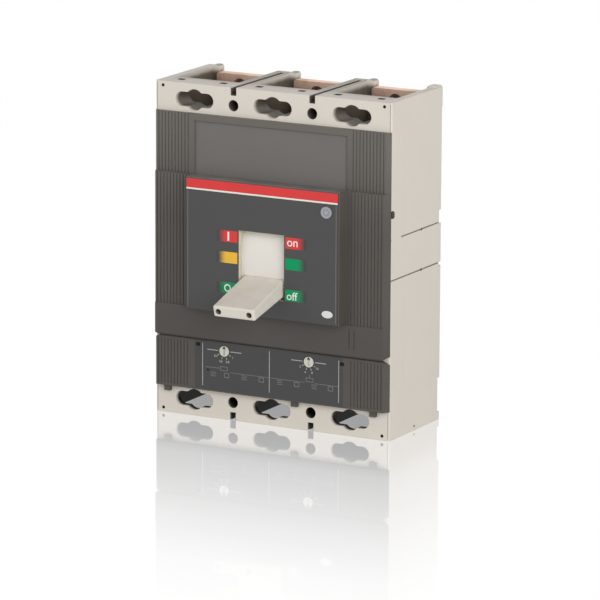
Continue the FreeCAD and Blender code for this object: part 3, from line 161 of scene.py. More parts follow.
# ---- meshes ---------------------------------------------------------------
def add_piece(name, mesh, material, body, sharp=35.0):
    """Merge a mesh's doubles, turn its faces outwards, and put it in the scene on a body."""
    work = bmesh.new()
    work.from_mesh(mesh)
    bmesh.ops.remove_doubles(work, verts=work.verts, dist=1e-7)
    bmesh.ops.recalc_face_normals(work, faces=work.faces)
    work.to_mesh(mesh)
    work.free()
    mesh.polygons.foreach_set("use_smooth", [True] * len(mesh.polygons))
    mesh.set_sharp_from_angle(angle=math.radians(sharp))
    mesh.materials.append(material)
    piece = bpy.data.objects.new(name, mesh)
    bpy.context.scene.collection.objects.link(piece)
    if body:
        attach(piece, body)
    return piece


def grid_mesh(name, grid, ring_rows=False, ring_columns=True, caps=True):
    """Quads over a grid of points: corner (i, j) joins (i + 1, j), (i + 1, j + 1) and (i, j + 1), wrapping
    where the grid is a ring, and the first and last rows close as flat caps."""
    rows, columns = grid.shape[:2]
    i, j = np.meshgrid(np.arange(rows if ring_rows else rows - 1),
                       np.arange(columns if ring_columns else columns - 1), indexing="ij")
    down, along = (i + 1) % rows, (j + 1) % columns
    quads = np.stack([i * columns + j, down * columns + j, down * columns + along, i * columns + along],
                     axis=-1)
    faces = quads.reshape(-1, 4).tolist()
    if caps:
        faces.append(list(range(columns)))
        faces.append(list(range((rows - 1) * columns, rows * columns)))
    mesh = bpy.data.meshes.new(name)
    mesh.from_pydata(grid.reshape(-1, 3).tolist(), [], faces)
    return mesh


def add_grid(name, grid, material, body="case", sharp=35.0, **wrapping):
    return add_piece(name, grid_mesh(name, grid, **wrapping), material, body, sharp)


def ring(count):
    """Angles that go once round, as many as are asked for."""
    return np.arange(count) * 2 * math.pi / count


def circle(count):
    """Points of a unit circle: (cos, sin) of angles that go once round."""
    return np.stack([np.cos(ring(count)), np.sin(ring(count))], axis=-1)


def rounded_loop(half_width, half_height, radius, steps=5):
    """A rounded rectangle: each corner's centre plus the radius times (cos, sin) of its quarter turn."""
    quarter = np.linspace(0, math.pi / 2, steps + 1)
    angle = (np.arange(4)[:, None] * math.pi / 2 + quarter).ravel()
    across = np.repeat((1, -1, -1, 1), steps + 1) * (half_width - radius) + radius * np.cos(angle)
    up = np.repeat((1, 1, -1, -1), steps + 1) * (half_height - radius) + radius * np.sin(angle)
    return np.stack([across, up], axis=-1)


def stack_loops(loops, depths, centre, axis=1):
    """Outlines in two axes, one behind another along the third: row i is outline i about the centre, at depth
    i along the axis of that index."""
    return np.stack([np.insert(loop + centre, axis, depth, axis=1) for loop, depth in zip(loops, depths)])


def plate(name, centre, half, radius, front, thickness, material, body="case", bevel=0.0):
    """A flat rounded plate facing the front, its front rim inset by the bevel."""
    outer = rounded_loop(*half, radius)
    loops, depths = [outer, outer], [front + thickness, front + bevel]
    if bevel:
        loops.append(rounded_loop(half[0] - bevel, half[1] - bevel, radius - bevel))
        depths.append(front)
    return add_grid(name, stack_loops(loops, depths, centre), material, body)


def frame_line(name, centre, half, width, radius, front, thickness, material, body="case"):
    """A closed printed line: an outer and an inner rounded outline joined front and back."""
    outer = rounded_loop(*half, radius)
    inner = rounded_loop(half[0] - width, half[1] - width, max(radius - width, 1e-5))
    back = front + thickness
    grid = stack_loops([outer, outer, inner, inner], [back, front, front, back], centre)
    return add_grid(name, grid, material, body, ring_rows=True, caps=False)


def turned_piece(name, profile, centre, material, body, steps=48):
    """A profile of (radius, y) turned about an axis along y: x and z are the radius times (cos, sin)."""
    loops = [circle(steps) * radius for radius, _ in profile]
    depths = [centre[1] + depth for _, depth in profile]
    return add_grid(name, stack_loops(loops, depths, (centre[0], centre[2])), material, body)


def strokes(name, segments, width, front, thickness, material, body="case"):
    """Straight printed strokes: each segment's two ends moved half a width either way across it, given a
    front and a back, and all of them in one mesh."""
    ends = np.asarray(segments, dtype=float)
    start, end = ends[:, 0], ends[:, 1]
    along = (end - start) / np.linalg.norm(end - start, axis=1, keepdims=True)
    side = np.stack([-along[:, 1], along[:, 0]], axis=-1) * width / 2
    corners = np.stack([start - side, end - side, end + side, start + side], axis=1)
    points = np.concatenate([np.insert(corners, 1, depth, axis=2) for depth in (front, front + thickness)],
                            axis=1)
    block = np.array([(0, 1, 2, 3), (7, 6, 5, 4), (0, 4, 5, 1), (1, 5, 6, 2), (2, 6, 7, 3), (3, 7, 4, 0)])
    faces = (block[None] + 8 * np.arange(len(ends))[:, None, None]).reshape(-1, 4)
    mesh = bpy.data.meshes.new(name)
    mesh.from_pydata(points.reshape(-1, 3).tolist(), [], faces.tolist())
    return add_piece(name, mesh, material, body)


def lettering(name, text, size, centre, front, thickness, material, body="case", weight=0.0):
    """Letters made a mesh flat in x and y, then stood up: (x, y, z) becomes (x, -z, y) plus the place."""
    curve = bpy.data.curves.new(name + "_curve", "FONT")
    curve.body = text
    curve.size = size
    curve.offset = weight
    curve.align_x, curve.align_y = "CENTER", "CENTER"
    curve.extrude = thickness / 2
    curve.resolution_u = 4
    flat = bpy.data.objects.new(name + "_flat", curve)
    bpy.context.scene.collection.objects.link(flat)
    graph = bpy.context.evaluated_depsgraph_get()
    mesh = bpy.data.meshes.new_from_object(flat.evaluated_get(graph))
    bpy.data.objects.remove(flat)
    bpy.data.curves.remove(curve)
    points = np.empty(len(mesh.vertices) * 3)
    mesh.vertices.foreach_get("co", points)
    points = points.reshape(-1, 3)
    middle = (points.min(axis=0) + points.max(axis=0)) / 2
    points = points - middle
    placed = np.stack([points[:, 0] + centre[0], front + thickness / 2 - points[:, 2],
                       points[:, 1] + centre[1]], axis=-1)
    mesh.vertices.foreach_set("co", placed.ravel())
    mesh.update()
    mesh.name = name
    mesh.materials.clear()
    return add_piece(name, mesh, material, body)


# ---- shader groups --------------------------------------------------------
def feed(tree, target, source):
    """Links a source socket, or sets a plain value, on an input."""
    if isinstance(source, bpy.types.NodeSocket):
        tree.links.new(source, target)
    else:
        target.default_value = source


def add_node(tree, kind, inputs=None, **values):
    """A node with its settings made and its inputs fed, these by name or by place."""
    node = tree.nodes.new("ShaderNode" + kind)
    for name, value in values.items():
        setattr(node, name, value)
    for key, source in (inputs or {}).items():
        feed(tree, node.inputs[key], source)
    return node


def mix_shaders(tree, share, first, second):
    return add_node(tree, "MixShader", {0: share, 1: first, 2: second}).outputs[0]


def number(tree, operation, *sources, clamp=False):
    return add_node(tree, "Math", dict(enumerate(sources)), operation=operation, use_clamp=clamp).outputs[0]


def seen_rays(tree):
    """1 for what the lens, a glossy or a clear surface sees, and 1 for what the lens alone sees."""
    path = add_node(tree, "LightPath").outputs
    passed_on = number(tree, "MAXIMUM", path["Is Glossy Ray"], path["Is Transmission Ray"])
    return number(tree, "MAXIMUM", path["Is Camera Ray"], passed_on), path["Is Camera Ray"]


def product(tree, *factors):
    result = factors[0]
    for factor in factors[1:]:
        result = number(tree, "MULTIPLY", result, factor)
    return result


def away_from(tree, value, middle=None):
    """The distance of a value from a middle, or from 0."""
    return number(tree, "ABSOLUTE", value if middle is None else number(tree, "SUBTRACT", value, middle))


def vector_math(tree, operation, *sources):
    return add_node(tree, "VectorMath", dict(enumerate(sources)), operation=operation).outputs


def parts_of(tree, vector):
    """The X, Y and Z sockets of a vector."""
    return add_node(tree, "SeparateXYZ", {0: vector}).outputs


def face_normal(tree):
    return add_node(tree, "NewGeometry").outputs["Normal"]


def stretched(tree, vector, **settings):
    """A vector scaled or turned by a mapping node."""
    return add_node(tree, "Mapping", {"Vector": vector, **settings}).outputs[0]


def blend_colour(tree, share, first, second):
    return add_node(tree, "Mix", {0: share, 6: first, 7: second}, data_type="RGBA").outputs[2]


def noise(tree, vector, scale, detail=2.0, rough=0.5):
    given = {"Vector": vector, "Scale": scale, "Detail": detail, "Roughness": rough}
    return add_node(tree, "TexNoise", given).outputs["Fac"]


def ramp(tree, value, low, high):
    """0 below low, 1 above high, with an eased step between; the other way round if low is the higher."""
    given = {"Value": value, "From Min": low, "From Max": high}
    return add_node(tree, "MapRange", given, interpolation_type="SMOOTHSTEP").outputs["Result"]


def new_group(name, inputs, outputs):
    """An empty shader group with its named sockets: each input has a kind, or a default if it is a number."""
    group = bpy.data.node_groups.new(name, "ShaderNodeTree")
    for label, kind in inputs.items():
        plain = not isinstance(kind, str)
        made = group.interface.new_socket(label, in_out="INPUT",
                                          socket_type="NodeSocket" + ("Float" if plain else kind))
        if plain:
            made.default_value = kind
    for label, kind in outputs.items():
        group.interface.new_socket(label, in_out="OUTPUT", socket_type="NodeSocket" + kind)
    source = group.nodes.new("NodeGroupInput")
    result = group.nodes.new("NodeGroupOutput")
    return group, source.outputs, result.inputs


def moulded_grain_group():
    """Cloudy colour, dark specks and the fine pebbled skin of a moulded part."""
    group, given, result = new_group(
        "Moulded grain",
        {"Vector": "Vector", "Colour": "Color", "Mottle": 0.05, "Speck": 0.1},
        {"Colour": "Color", "Height": "Float", "Roughness": "Float"})
    cloud = noise(group, given["Vector"], 28.0, 4.0)
    fine = noise(group, given["Vector"], 1500.0, 2.0)
    speck = ramp(group, noise(group, given["Vector"], 620.0, 1.0), 0.66, 0.74)
    swing = number(group, "MULTIPLY_ADD", cloud, 2.0, -1.0)
    level = number(group, "MULTIPLY_ADD", swing, given["Mottle"], 1.0)
    level = number(group, "SUBTRACT", level, product(group, speck, given["Speck"]))
    shade = add_node(group, "VectorMath", {0: given["Colour"], "Scale": level}, operation="SCALE")
    feed(group, result["Colour"], shade.outputs[0])
    feed(group, result["Height"], fine)
    feed(group, result["Roughness"], number(group, "MULTIPLY_ADD", cloud, 0.16, -0.08))
    return group


def edge_wear_group():
    """How far a rounded normal has turned from the face's own, broken up so that parts of an edge rub."""
    group, given, result = new_group(
        "Edge wear", {"Vector": "Vector", "Rounded": "Vector", "Face": "Vector", "Amount": 0.5},
        {"Mask": "Float"})
    dot = vector_math(group, "DOT_PRODUCT", given["Rounded"], given["Face"])
    turn = number(group, "SUBTRACT", 1.0, dot["Value"])
    edge = ramp(group, turn, 0.02, 0.22)
    patch = ramp(group, noise(group, given["Vector"], 90.0, 3.0), 0.4, 0.65)
    rubbed = product(group, edge, number(group, "MULTIPLY_ADD", patch, 0.7, 0.3))
    feed(group, result["Mask"], number(group, "MULTIPLY", rubbed, given["Amount"], clamp=True))
    return group


def settled_dust_group():
    """A pale film on faces that look up, thinner where it has been wiped."""
    group, given, result = new_group(
        "Settled dust", {"Vector": "Vector", "Face": "Vector", "Amount": 0.2}, {"Mask": "Float"})
    up = ramp(group, parts_of(group, given["Face"])["Z"], 0.3, 0.95)
    wiped = ramp(group, noise(group, given["Vector"], 45.0, 5.0, 0.6), 0.3, 0.7)
    feed(group, result["Mask"], product(group, up, wiped, given["Amount"]))
    return group


def deep_shade_group():
    """How far inside a moulding's outer box a face lies, as a mask for painted shade: the least of its
    distances to the box's sides.
    """
    group, given, result = new_group(
        "Deep shade", {"Vector": "Vector", "Low": "Vector", "High": "Vector", "Start": 0.001, "End": 0.014},
        {"Mask": "Float"})
    past_low = vector_math(group, "SUBTRACT", given["Vector"], given["Low"])[0]
    short_of_high = vector_math(group, "SUBTRACT", given["High"], given["Vector"])[0]
    least = parts_of(group, vector_math(group, "MINIMUM", past_low, short_of_high)[0])
    depth = number(group, "MINIMUM", number(group, "MINIMUM", least["X"], least["Y"]), least["Z"])
    uneven = noise(group, given["Vector"], 70.0, 4.0, 0.6)
    depth = product(group, depth, number(group, "MULTIPLY_ADD", uneven, 0.8, 0.6))
    feed(group, result["Mask"], ramp(group, depth, given["Start"], given["End"]))
    return group


def drawn_metal_group():
    """Long faint lines along z from rolling, and cloudy darker patches of age."""
    group, given, result = new_group(
        "Drawn metal",
        {"Vector": "Vector", "Colour": "Color", "Aged": "Color", "Age": 0.4, "Roughness": 0.35},
        {"Colour": "Color", "Roughness": "Float", "Height": "Float"})
    lines = noise(group, stretched(group, given["Vector"], Scale=(1.0, 1.0, 0.04)), 1400.0, 3.0)
    patch = ramp(group, noise(group, given["Vector"], 60.0, 5.0, 0.62), 0.35, 0.75)
    share = product(group, patch, given["Age"])
    feed(group, result["Colour"], blend_colour(group, share, given["Colour"], given["Aged"]))
    rough = number(group, "ADD", given["Roughness"], number(group, "MULTIPLY_ADD", lines, 0.16, -0.08))
    feed(group, result["Roughness"], number(group, "MULTIPLY_ADD", share, 0.2, rough))
    feed(group, result["Height"], lines)
    return group


def groups():
    """The shared effects, each made once."""
    makers = {"grain": ("Moulded grain", moulded_grain_group), "wear": ("Edge wear", edge_wear_group),
              "dust": ("Settled dust", settled_dust_group), "depth_shade": ("Deep shade", deep_shade_group),
              "metal": ("Drawn metal", drawn_metal_group)}
    return {key: bpy.data.node_groups.get(name) or make() for key, (name, make) in makers.items()}


def place_group(tree, key, **sources):
    return add_node(tree, "Group", sources, node_tree=groups()[key]).outputs


# ---- finishes -------------------------------------------------------------
def start_material(name):
    material = bpy.data.materials.new(name)
    material.use_nodes = True
    tree = material.node_tree
    tree.nodes.clear()
    shader = add_node(tree, "BsdfPrincipled")
    tree.links.new(shader.outputs[0], add_node(tree, "OutputMaterial").inputs[0])
    place = add_node(tree, "TexCoord").outputs["Object"]
    return material, tree, shader, place


def rgba(colour):
    return (*colour, 1.0)


def bumped(tree, height, strength, millimetres, normal=None):
    given = {"Strength": strength, "Distance": millimetres * MM, "Height": height}
    if normal is not None:
        given["Normal"] = normal
    return add_node(tree, "Bump", given).outputs[0]


def rounded_normal(tree, radius):
    """The face's normal, turned near an edge as if that were rounded by a radius in millimetres."""
    return add_node(tree, "Bevel", {"Radius": radius * MM}, samples=4).outputs[0]


def finish_shader(tree, shader, colour, roughness, normal, specular=0.5, metallic=0.0):
    given = {"Base Color": colour, "Roughness": roughness, "Normal": normal, "Specular IOR Level": specular,
             "Metallic": metallic}
    for name, source in given.items():
        feed(tree, shader.inputs[name], source)


def plastic(name, colour, roughness, mottle=0.05, speck=0.06, rubbed=None, wear=0.35, dust=0.15,
            grain=0.25, soft_edge=0.5, field=None):
    """Moulded plastic: grain, rubbed edges and dust on a rounded edge. field adds a second colour region."""
    material, tree, shader, place = start_material(name)
    face = face_normal(tree)
    rounded = rounded_normal(tree, soft_edge)
    base = rgba(colour)
    if field:
        base = field(tree, place, base)
    skin = place_group(tree, "grain", Vector=place, Colour=base, Mottle=mottle, Speck=speck)
    edge = place_group(tree, "wear", Vector=place, Rounded=rounded, Face=face, Amount=wear)
    film = place_group(tree, "dust", Vector=place, Face=face, Amount=dust)
    pale = rubbed or tuple(min(1.0, c * 1.5 + 0.02) for c in colour)
    tint = blend_colour(tree, edge["Mask"], skin["Colour"], rgba(pale))
    tint = blend_colour(tree, film["Mask"], tint, rgba(linear(176, 170, 160)))
    rough = number(tree, "ADD", skin["Roughness"], roughness)
    rough = number(tree, "MULTIPLY_ADD", film["Mask"], 0.3, rough, clamp=True)
    normal = bumped(tree, skin["Height"], grain, 0.12, rounded)
    finish_shader(tree, shader, tint, rough, normal, specular=0.35)
    return material


def metal(name, colour, aged, roughness, age):
    """Bare or plated metal: rolling lines and aged patches."""
    material, tree, shader, place = start_material(name)
    skin = place_group(tree, "metal", Vector=place, Colour=rgba(colour), Aged=rgba(aged), Age=age,
                       Roughness=roughness)
    normal = bumped(tree, skin["Height"], 0.25, 0.05, rounded_normal(tree, 0.25))
    finish_shader(tree, shader, skin["Colour"], skin["Roughness"], normal, metallic=1.0)
    return material


def spring_wire(name):
    return metal(name, linear(150, 148, 142), linear(92, 82, 66), 0.28, age=0.3)


def ink(name, colour, roughness=0.42, ground=None, fade=None):
    """Screen printed ink with a thin broken coverage; fade gives the distances at which it thins to the
    ground colour, with the dots of a printed halftone between."""
    material, tree, shader, place = start_material(name)
    skin = place_group(tree, "grain", Vector=place, Colour=rgba(colour), Mottle=0.05, Speck=0.08)
    tint = skin["Colour"]
    if fade:
        dots = noise(tree, place, 900.0, 0.0)
        away = number(tree, "MULTIPLY_ADD", dots, 2.0 * MM, away_from(tree, parts_of(tree, place)["X"]))
        tint = blend_colour(tree, ramp(tree, away, *fade), tint, rgba(ground))
    rough = number(tree, "ADD", skin["Roughness"], roughness)
    finish_shader(tree, shader, tint, rough, bumped(tree, skin["Height"], 0.1, 0.03), specular=0.2)
    return material


def hole_shade(name, colour=linear(38, 34, 31)):
    """Painted shade for the unlit inside of a small hole or seam, cloudy with dirt."""
    material, tree, shader, place = start_material(name)
    skin = place_group(tree, "grain", Vector=place, Colour=rgba(colour), Mottle=0.5, Speck=0.3)
    rough = number(tree, "ADD", skin["Roughness"], 0.85, clamp=True)
    finish_shader(tree, shader, skin["Colour"], rough, bumped(tree, skin["Height"], 0.3, 0.1), specular=0.1)
    return material


def woven_copper(name, colour):
    """Tinned copper braid: two sets of slanting strands crossing, as waves of z + x and z - x."""
    material, tree, shader, place = start_material(name)
    heights = []
    for turn in (0.9, -0.9):
        slanting = stretched(tree, place, Rotation=(0.0, turn, 0.0))
        given = {"Vector": slanting, "Scale": 260.0}
        heights.append(add_node(tree, "TexWave", given, bands_direction="X").outputs["Fac"])
    weave = number(tree, "MAXIMUM", *heights)
    skin = place_group(tree, "metal", Vector=place, Colour=rgba(colour), Aged=rgba(linear(120, 74, 52)),
                       Age=0.5, Roughness=0.4)
    # the copper is darker between the strands: painted shade in the weave's gaps
    tint = blend_colour(tree, number(tree, "MULTIPLY_ADD", weave, -0.55, 0.6), skin["Colour"],
                        rgba(linear(70, 40, 28)))
    finish_shader(tree, shader, tint, skin["Roughness"], bumped(tree, weave, 0.8, 0.4), metallic=1.0)
    return material


def fibre_board(name, colour):
    """Pressed fibre board: crossing long fibres, and a little soot towards the contacts."""
    material, tree, shader, place = start_material(name)
    fibre = number(tree, "MAXIMUM", *(noise(tree, stretched(tree, place, Scale=scale), 900.0, 3.0)
                                      for scale in ((1.0, 0.1, 1.0), (1.0, 1.0, 0.1))))
    skin = place_group(tree, "grain", Vector=place, Colour=rgba(colour), Mottle=0.12, Speck=0.2)
    tint = blend_colour(tree, ramp(tree, fibre, 0.5, 0.75), skin["Colour"], rgba(linear(206, 200, 184)))
    soot = product(tree, ramp(tree, parts_of(tree, place)["Z"], 70 * MM, 45 * MM),
                   noise(tree, place, 80.0, 4.0))
    tint = blend_colour(tree, soot, tint, rgba(linear(58, 52, 46)))
    finish_shader(tree, shader, tint, number(tree, "ADD", skin["Roughness"], 0.78),
                  bumped(tree, fibre, 0.35, 0.1))
    return material


def dress(material, *names):
    """Gives CAD nodes a finish through their material slots."""
    for name in names:
        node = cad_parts[name]
        if not node.material_slots:
            node.data.materials.append(material)
        for slot in node.material_slots:
            slot.link = "OBJECT"
            slot.material = material


def per_pole(*stems):
    return [f"{stem}_{pole}" for stem in stems for pole in POLES]


def settings(context):
    scene = context.scene
    return scene.breaker_colours, scene.breaker_sizes


# ---- operators: the housing -------------------------------------------------
class BREAKER_OT_case(Operator):
    """Finish the light case, and add its pin holes and side clip"""
    bl_idname = "breaker.case"
    bl_label = "Housing"

    def execute(self, context):
        colours, sizes = settings(context)
        low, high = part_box("mid_cover")
        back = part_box("rear_base")[1][1]
        dress(plastic("Housing polyester", colours.case, 0.46, mottle=0.035, speck=0.05, wear=0.25, dust=0.12,
                      rubbed=linear(232, 226, 218), field=self.hollows(low, high, back)),
              "rear_base", "mid_cover")
        hole = hole_shade("Pin hole")
        self.clip_pockets(low, high, hole)
        front, half_w, half_h = low[1], high[0], high[2]
        inset_x, inset_z, deep = mm(6.6, 3.4, 0.5)
        profile = [(0, deep), (sizes.hole, deep), (sizes.hole, 0), (0, 0)]
        # dark discs of painted shade stand for the pin holes in the case's corners
        for across, side in (("l", -1), ("r", 1)):
            for up, end in (("b", -1), ("t", 1)):
                place = (side * (half_w - inset_x), front - sizes.ink, end * (half_h - inset_z))
                turned_piece(f"corner_hole_{across}{up}", profile, place, hole, "case", 24)
        self.side_marks(half_w, hole_shade("Side hole shade", linear(112, 104, 94)))
        self.side_clip(half_w, plastic("Clip plastic", linear(58, 55, 52), 0.5))
        # thin dark lines near the front's side edges: painted shade of the corner seam
        seam = hole_shade("Seam shade", linear(128, 116, 102))
        seam_x, seam_end = half_w - 1.5 * MM, half_h - 1.2 * MM
        for name, ends in (("top", (104.5 * MM, seam_end)), ("bottom", (-seam_end, -106.5 * MM))):
            for label, side in SIDES.items():
                strokes(f"wall_seam_{name}_{label}", [[(side * seam_x, z) for z in ends]], 0.35 * MM,
                        front - 0.6 * sizes.ink, 0.2 * MM, seam)
        return {"FINISHED"}

    def hollows(self, low, high, back):
        """A colour field of painted shade: faces inside the outer walls that look up are darker, dusty and in
        painted shade; pockets are darker than the outside; the slots and fixing holes between poles and the
        side grooves are darker still; and the load end's hollows are nearly black."""
        closed = {"Low": tuple(low), "High": (high[0], back, high[2])}
        open_ended = {"Low": (low[0], low[1], -1.0), "High": (high[0], back, 1.0)}
        between_poles, fixing_z, fixing_r, slot_half = mm(35, 119.5, 4.7, 2.75)
        wall_inside, side_skin, groove_half = mm(98, 1.2, 0.8)

        def field(tree, place, base):
            def depth(start, end, box=closed):
                return place_group(tree, "depth_shade", Vector=place, Start=start * MM, End=end * MM, **box)["Mask"]

            x, y, z = parts_of(tree, place)
            from_middle = away_from(tree, x)
            looks_up = ramp(tree, parts_of(tree, face_normal(tree))["Z"], 0.5, 0.9)
            behind_front = ramp(tree, y, -80 * MM, -52 * MM)
            inside = number(tree, "LESS_THAN", from_middle, wall_inside)
            across = away_from(tree, from_middle, between_poles)
            along = number(tree, "SUBTRACT", away_from(tree, z), fixing_z)
            radius = number(tree, "SQRT", number(tree, "ADD", product(tree, across, across),
                                                 product(tree, along, along)))
            gap = number(tree, "MAXIMUM", number(tree, "LESS_THAN", across, slot_half),
                         number(tree, "LESS_THAN", radius, fixing_r))
            line = number(tree, "MINIMUM", away_from(tree, z, UPPER_GROOVE), away_from(tree, z, LOWER_GROOVE))
            groove = product(tree, number(tree, "GREATER_THAN", from_middle, high[0] - side_skin),
                             number(tree, "LESS_THAN", line, groove_half))
            load_end = ramp(tree, z, -84 * MM, -94 * MM)
            # painted shade: each layer is a mask and the darker colour it blends in, for up-facing inner
            # faces, pockets, gaps between poles, side grooves and the load end
            layers = ((product(tree, looks_up, behind_front, inside, 0.6), (128, 121, 107)),
                      (product(tree, depth(0.8, 5.5), 0.9), (88, 79, 68)),
                      (product(tree, gap, depth(0.3, 1.2), 0.92), (74, 66, 57)),
                      (product(tree, groove, depth(0.05, 0.3), 0.9), (112, 100, 88)),
                      (product(tree, load_end, depth(1.2, 4.5, open_ended)), (20, 18, 13)))
            for share, colour in layers:
                base = blend_colour(tree, share, base, rgba(linear(*colour)))
            return base

        return field

    def clip_pockets(self, low, high, hole):
        """Dark blocks of painted shade in the mouths of the shallow pockets in the line end: rounded outlines
        in x and y, set one over the other in z."""
        loop = rounded_loop(*mm(2.9, 2.6, 0.6))
        from_front, from_pole, sunk, proud = mm(13, 19, 0.5, 0.06)
        heights = high[2] - sunk, high[2] + proud
        places = [pole + side * from_pole for pole in POLES.values() for side in SIDES.values()]
        for index, across in enumerate(places):
            grid = stack_loops([loop, loop], heights, (across, low[1] + from_front), axis=2)
            add_grid(f"clip_pocket_shade_{index + 1}", grid, hole)

    def side_marks(self, half_w, material):
        """Round dark discs of painted shade for small holes on each side: circles in y and z of radius 0, r,
        r and 0, the first two at one x and the last two further out."""
        y, foot_y, foot_z, radius, foot_radius, sunk, proud = mm(-34.3, -44.0, -130.7, 1.25, 1.1, 0.4, 0.05)
        discs = ((y, UPPER_GROOVE, radius), (y, LOWER_GROOVE, radius), (foot_y, foot_z, foot_radius))
        inner, outer = half_w - sunk, half_w + proud
        for label, side in SIDES.items():
            for index, (*middle, wide) in enumerate(discs):
                loops = [circle(24) * r for r in (0, wide, wide, 0)]
                depths = [side * x for x in (inner, inner, outer, outer)]
                grid = stack_loops(loops, depths, middle, axis=0)
                add_grid(f"side_mark_{label}_{index + 1}", grid, material)

    def side_clip(self, half_w, material):
        """A small dark catch at the cover's right edge: a rounded block lofted outwards along x."""
        loop = rounded_loop(*mm(1.6, 3.0, 1.2))
        depths = [half_w + x for x in mm(-0.5, 0.9, 1.5)]
        grid = stack_loops([loop, loop, loop * 0.72], depths, mm(-84.2, 46.0), axis=0)
        add_grid("side_catch", grid, material)


class BREAKER_OT_cover(Operator):
    """Finish the dark front covers and add their clip windows"""
    bl_idname = "breaker.cover"
    bl_label = "Front cover"

    def execute(self, context):
        colours, sizes = settings(context)
        recess_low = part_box("face_plate")[1][2] + 0.4 * MM
        recess_half, recess_high = mm(68.3, 105.6)
        # z ranges of the painted light on the upper end and the painted shade on the foot
        faded_print_and_painted_light, shaded_foot = mm(20, 110), mm(-28, -58)

        def painted_light_and_panel(tree, place, base):
            """Painted light and shade: the upper end is paler and the foot darker, as the light falls from
            above; the recess above the face plate is paler.
            """
            x, _, z = parts_of(tree, place)
            outer = blend_colour(tree, ramp(tree, z, *faded_print_and_painted_light), base, rgba(colours.faded_print_and_painted_light))
            outer = blend_colour(tree, ramp(tree, z, *shaded_foot), outer, rgba(linear(76, 72, 69)))
            recess = product(tree, number(tree, "LESS_THAN", away_from(tree, x), recess_half),
                             number(tree, "GREATER_THAN", z, recess_low),
                             number(tree, "LESS_THAN", z, recess_high))
            return blend_colour(tree, recess, outer, rgba(colours.panel))

        moulded = {"mottle": 0.05, "speck": 0.05, "wear": 0.3}
        dress(plastic("Cover plastic", colours.cover, 0.5, dust=0.2, field=painted_light_and_panel, **moulded), "front_cover")
        dress(plastic("Trip cover plastic", colours.cover, 0.5, dust=0.1, **moulded), "trip_unit_cover")
        dress(plastic("Tray plastic", linear(54, 52, 50), 0.55), "trip_unit_frame")
        # the clip windows are dark plates of painted shade for their unlit openings
        window = hole_shade("Clip window")
        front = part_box("trip_unit_cover")[0][1] - 2 * sizes.ink
        windows = (("left", (-63.5, -73.9), (1.9, 1.4)), ("right", (65.5, -75.6), (1.9, 1.4)),
                   ("inner", (-54.6, -93.8), (0.9, 0.8)))
        for name, centre, half in windows:
            plate(f"clip_window_{name}", mm(*centre), mm(*half), 0.3 * MM, front, 0.4 * MM, window)
        band_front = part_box("front_cover")[0][1] + 9.3 * MM
        for name, x in (("inner", 72.6), ("outer", 77.0)):
            strokes(f"cover_tick_{name}", [(mm(x, -63.0), mm(x, -47.0))], 0.4 * MM,
                    band_front - sizes.ink, 0.3 * MM, window)
        return {"FINISHED"}


class BREAKER_OT_face_plate(Operator):
    """Print the face plate: band, border, coloured marks and letters"""
    bl_idname = "breaker.face_plate"
    bl_label = "Face plate"

    def execute(self, context):
        colours, sizes = settings(context)
        dress(plastic("Plate film", colours.film, 0.38, mottle=0.03, speck=0.03, wear=0.1, dust=0.05,
                      grain=0.12, soft_edge=0.2), "face_plate")
        low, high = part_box("face_plate")
        front = low[1] - sizes.ink
        centre, half = (low[0] + high[0]) / 2, (high[0] - low[0]) / 2
        white = ink("White ink", colours.white)
        band, edge, rule, thick = mm(7.3, 0.25, 1.3, 0.3)
        top, wide = high[2] - edge, half - edge
        plate("red_band", (centre, top - band / 2), (wide, band / 2), 0.5 * MM, front, thick,
              ink("Red ink", colours.red, 0.36), bevel=0.04 * MM)
        plate("white_rule", (centre, top - band - rule / 2), (wide, rule / 2), 0.1 * MM, front, thick, white)
        pale = ink("Border ink", linear(126, 126, 125))
        foot, head = low[2] + 1.4 * MM, high[2] - band - 2 * rule
        for label, side in SIDES.items():
            x = side * (half - 1.5 * MM)
            strokes(f"border_line_{label}", [((x, foot), (x, head))], sizes.line * 0.8, front, 0.2 * MM, pale)
        self.marks(colours, sizes, front, white)
        self.oval(front, low, high)
        return {"FINISHED"}

    def marks(self, colours, sizes, front, white):
        """Coloured fields either side of the lever, with their letters: on, tripped and off."""
        faded_print_and_painted_light = {"ground": tuple(colours.film), "fade": (32 * MM, sizes.mark_outer)}
        inks = {"on": ink("On field", colours.red, **faded_print_and_painted_light), "off": ink("Off field", colours.green, **faded_print_and_painted_light),
                "tripped": ink("Tripped field", colours.yellow, **faded_print_and_painted_light)}
        rows = (("on_left", "on", 18.9), ("on_right", "on", 18.9), ("tripped_left", "tripped", 1.9),
                ("reset_right", "off", 2.1), ("off_left", "off", -22.6), ("off_right", "off", -22.8))
        middle = (sizes.mark_inner + sizes.mark_outer) / 2
        half = ((sizes.mark_outer - sizes.mark_inner) / 2, sizes.mark_height / 2)
        for name, key, height in rows:
            side = SIDES[name.split("_")[1]]
            plate(f"mark_{name}", (side * middle, height * MM), half, 0.4 * MM, front, 0.25 * MM, inks[key])
        layer = (front - sizes.ink, 0.2 * MM, white)
        bold = 0.06 * MM
        lettering("letters_on", "on", sizes.letter * 1.08, mm(27.6, 18.7), *layer, weight=bold)
        lettering("letters_off", "off", sizes.letter, mm(27.6, -23.2), *layer, weight=bold)
        strokes("symbol_on", [(mm(-29.5, 15.3), mm(-29.5, 22.5))], 1.5 * MM, *layer)
        frame_line("symbol_off", mm(-30.2, -22.6), mm(3.1, 3.1), 1.1 * MM, 3.1 * MM, *layer)

    def oval(self, front, low, high):
        """A blank white sticker at the lower right: an ellipse of (a cos t, b sin t), slightly domed."""
        thick, dome, inset_x, inset_z = mm(0.2, 0.03, 9.0, 8.1)
        loop = circle(40) * mm(4.9, 2.9)
        grid = stack_loops([loop, loop, loop * 0.94], [front + thick, front, front - dome],
                           (high[0] - inset_x, low[2] + inset_z))
        add_grid("blank_sticker", grid, ink("Sticker paper", linear(228, 226, 222), 0.5))


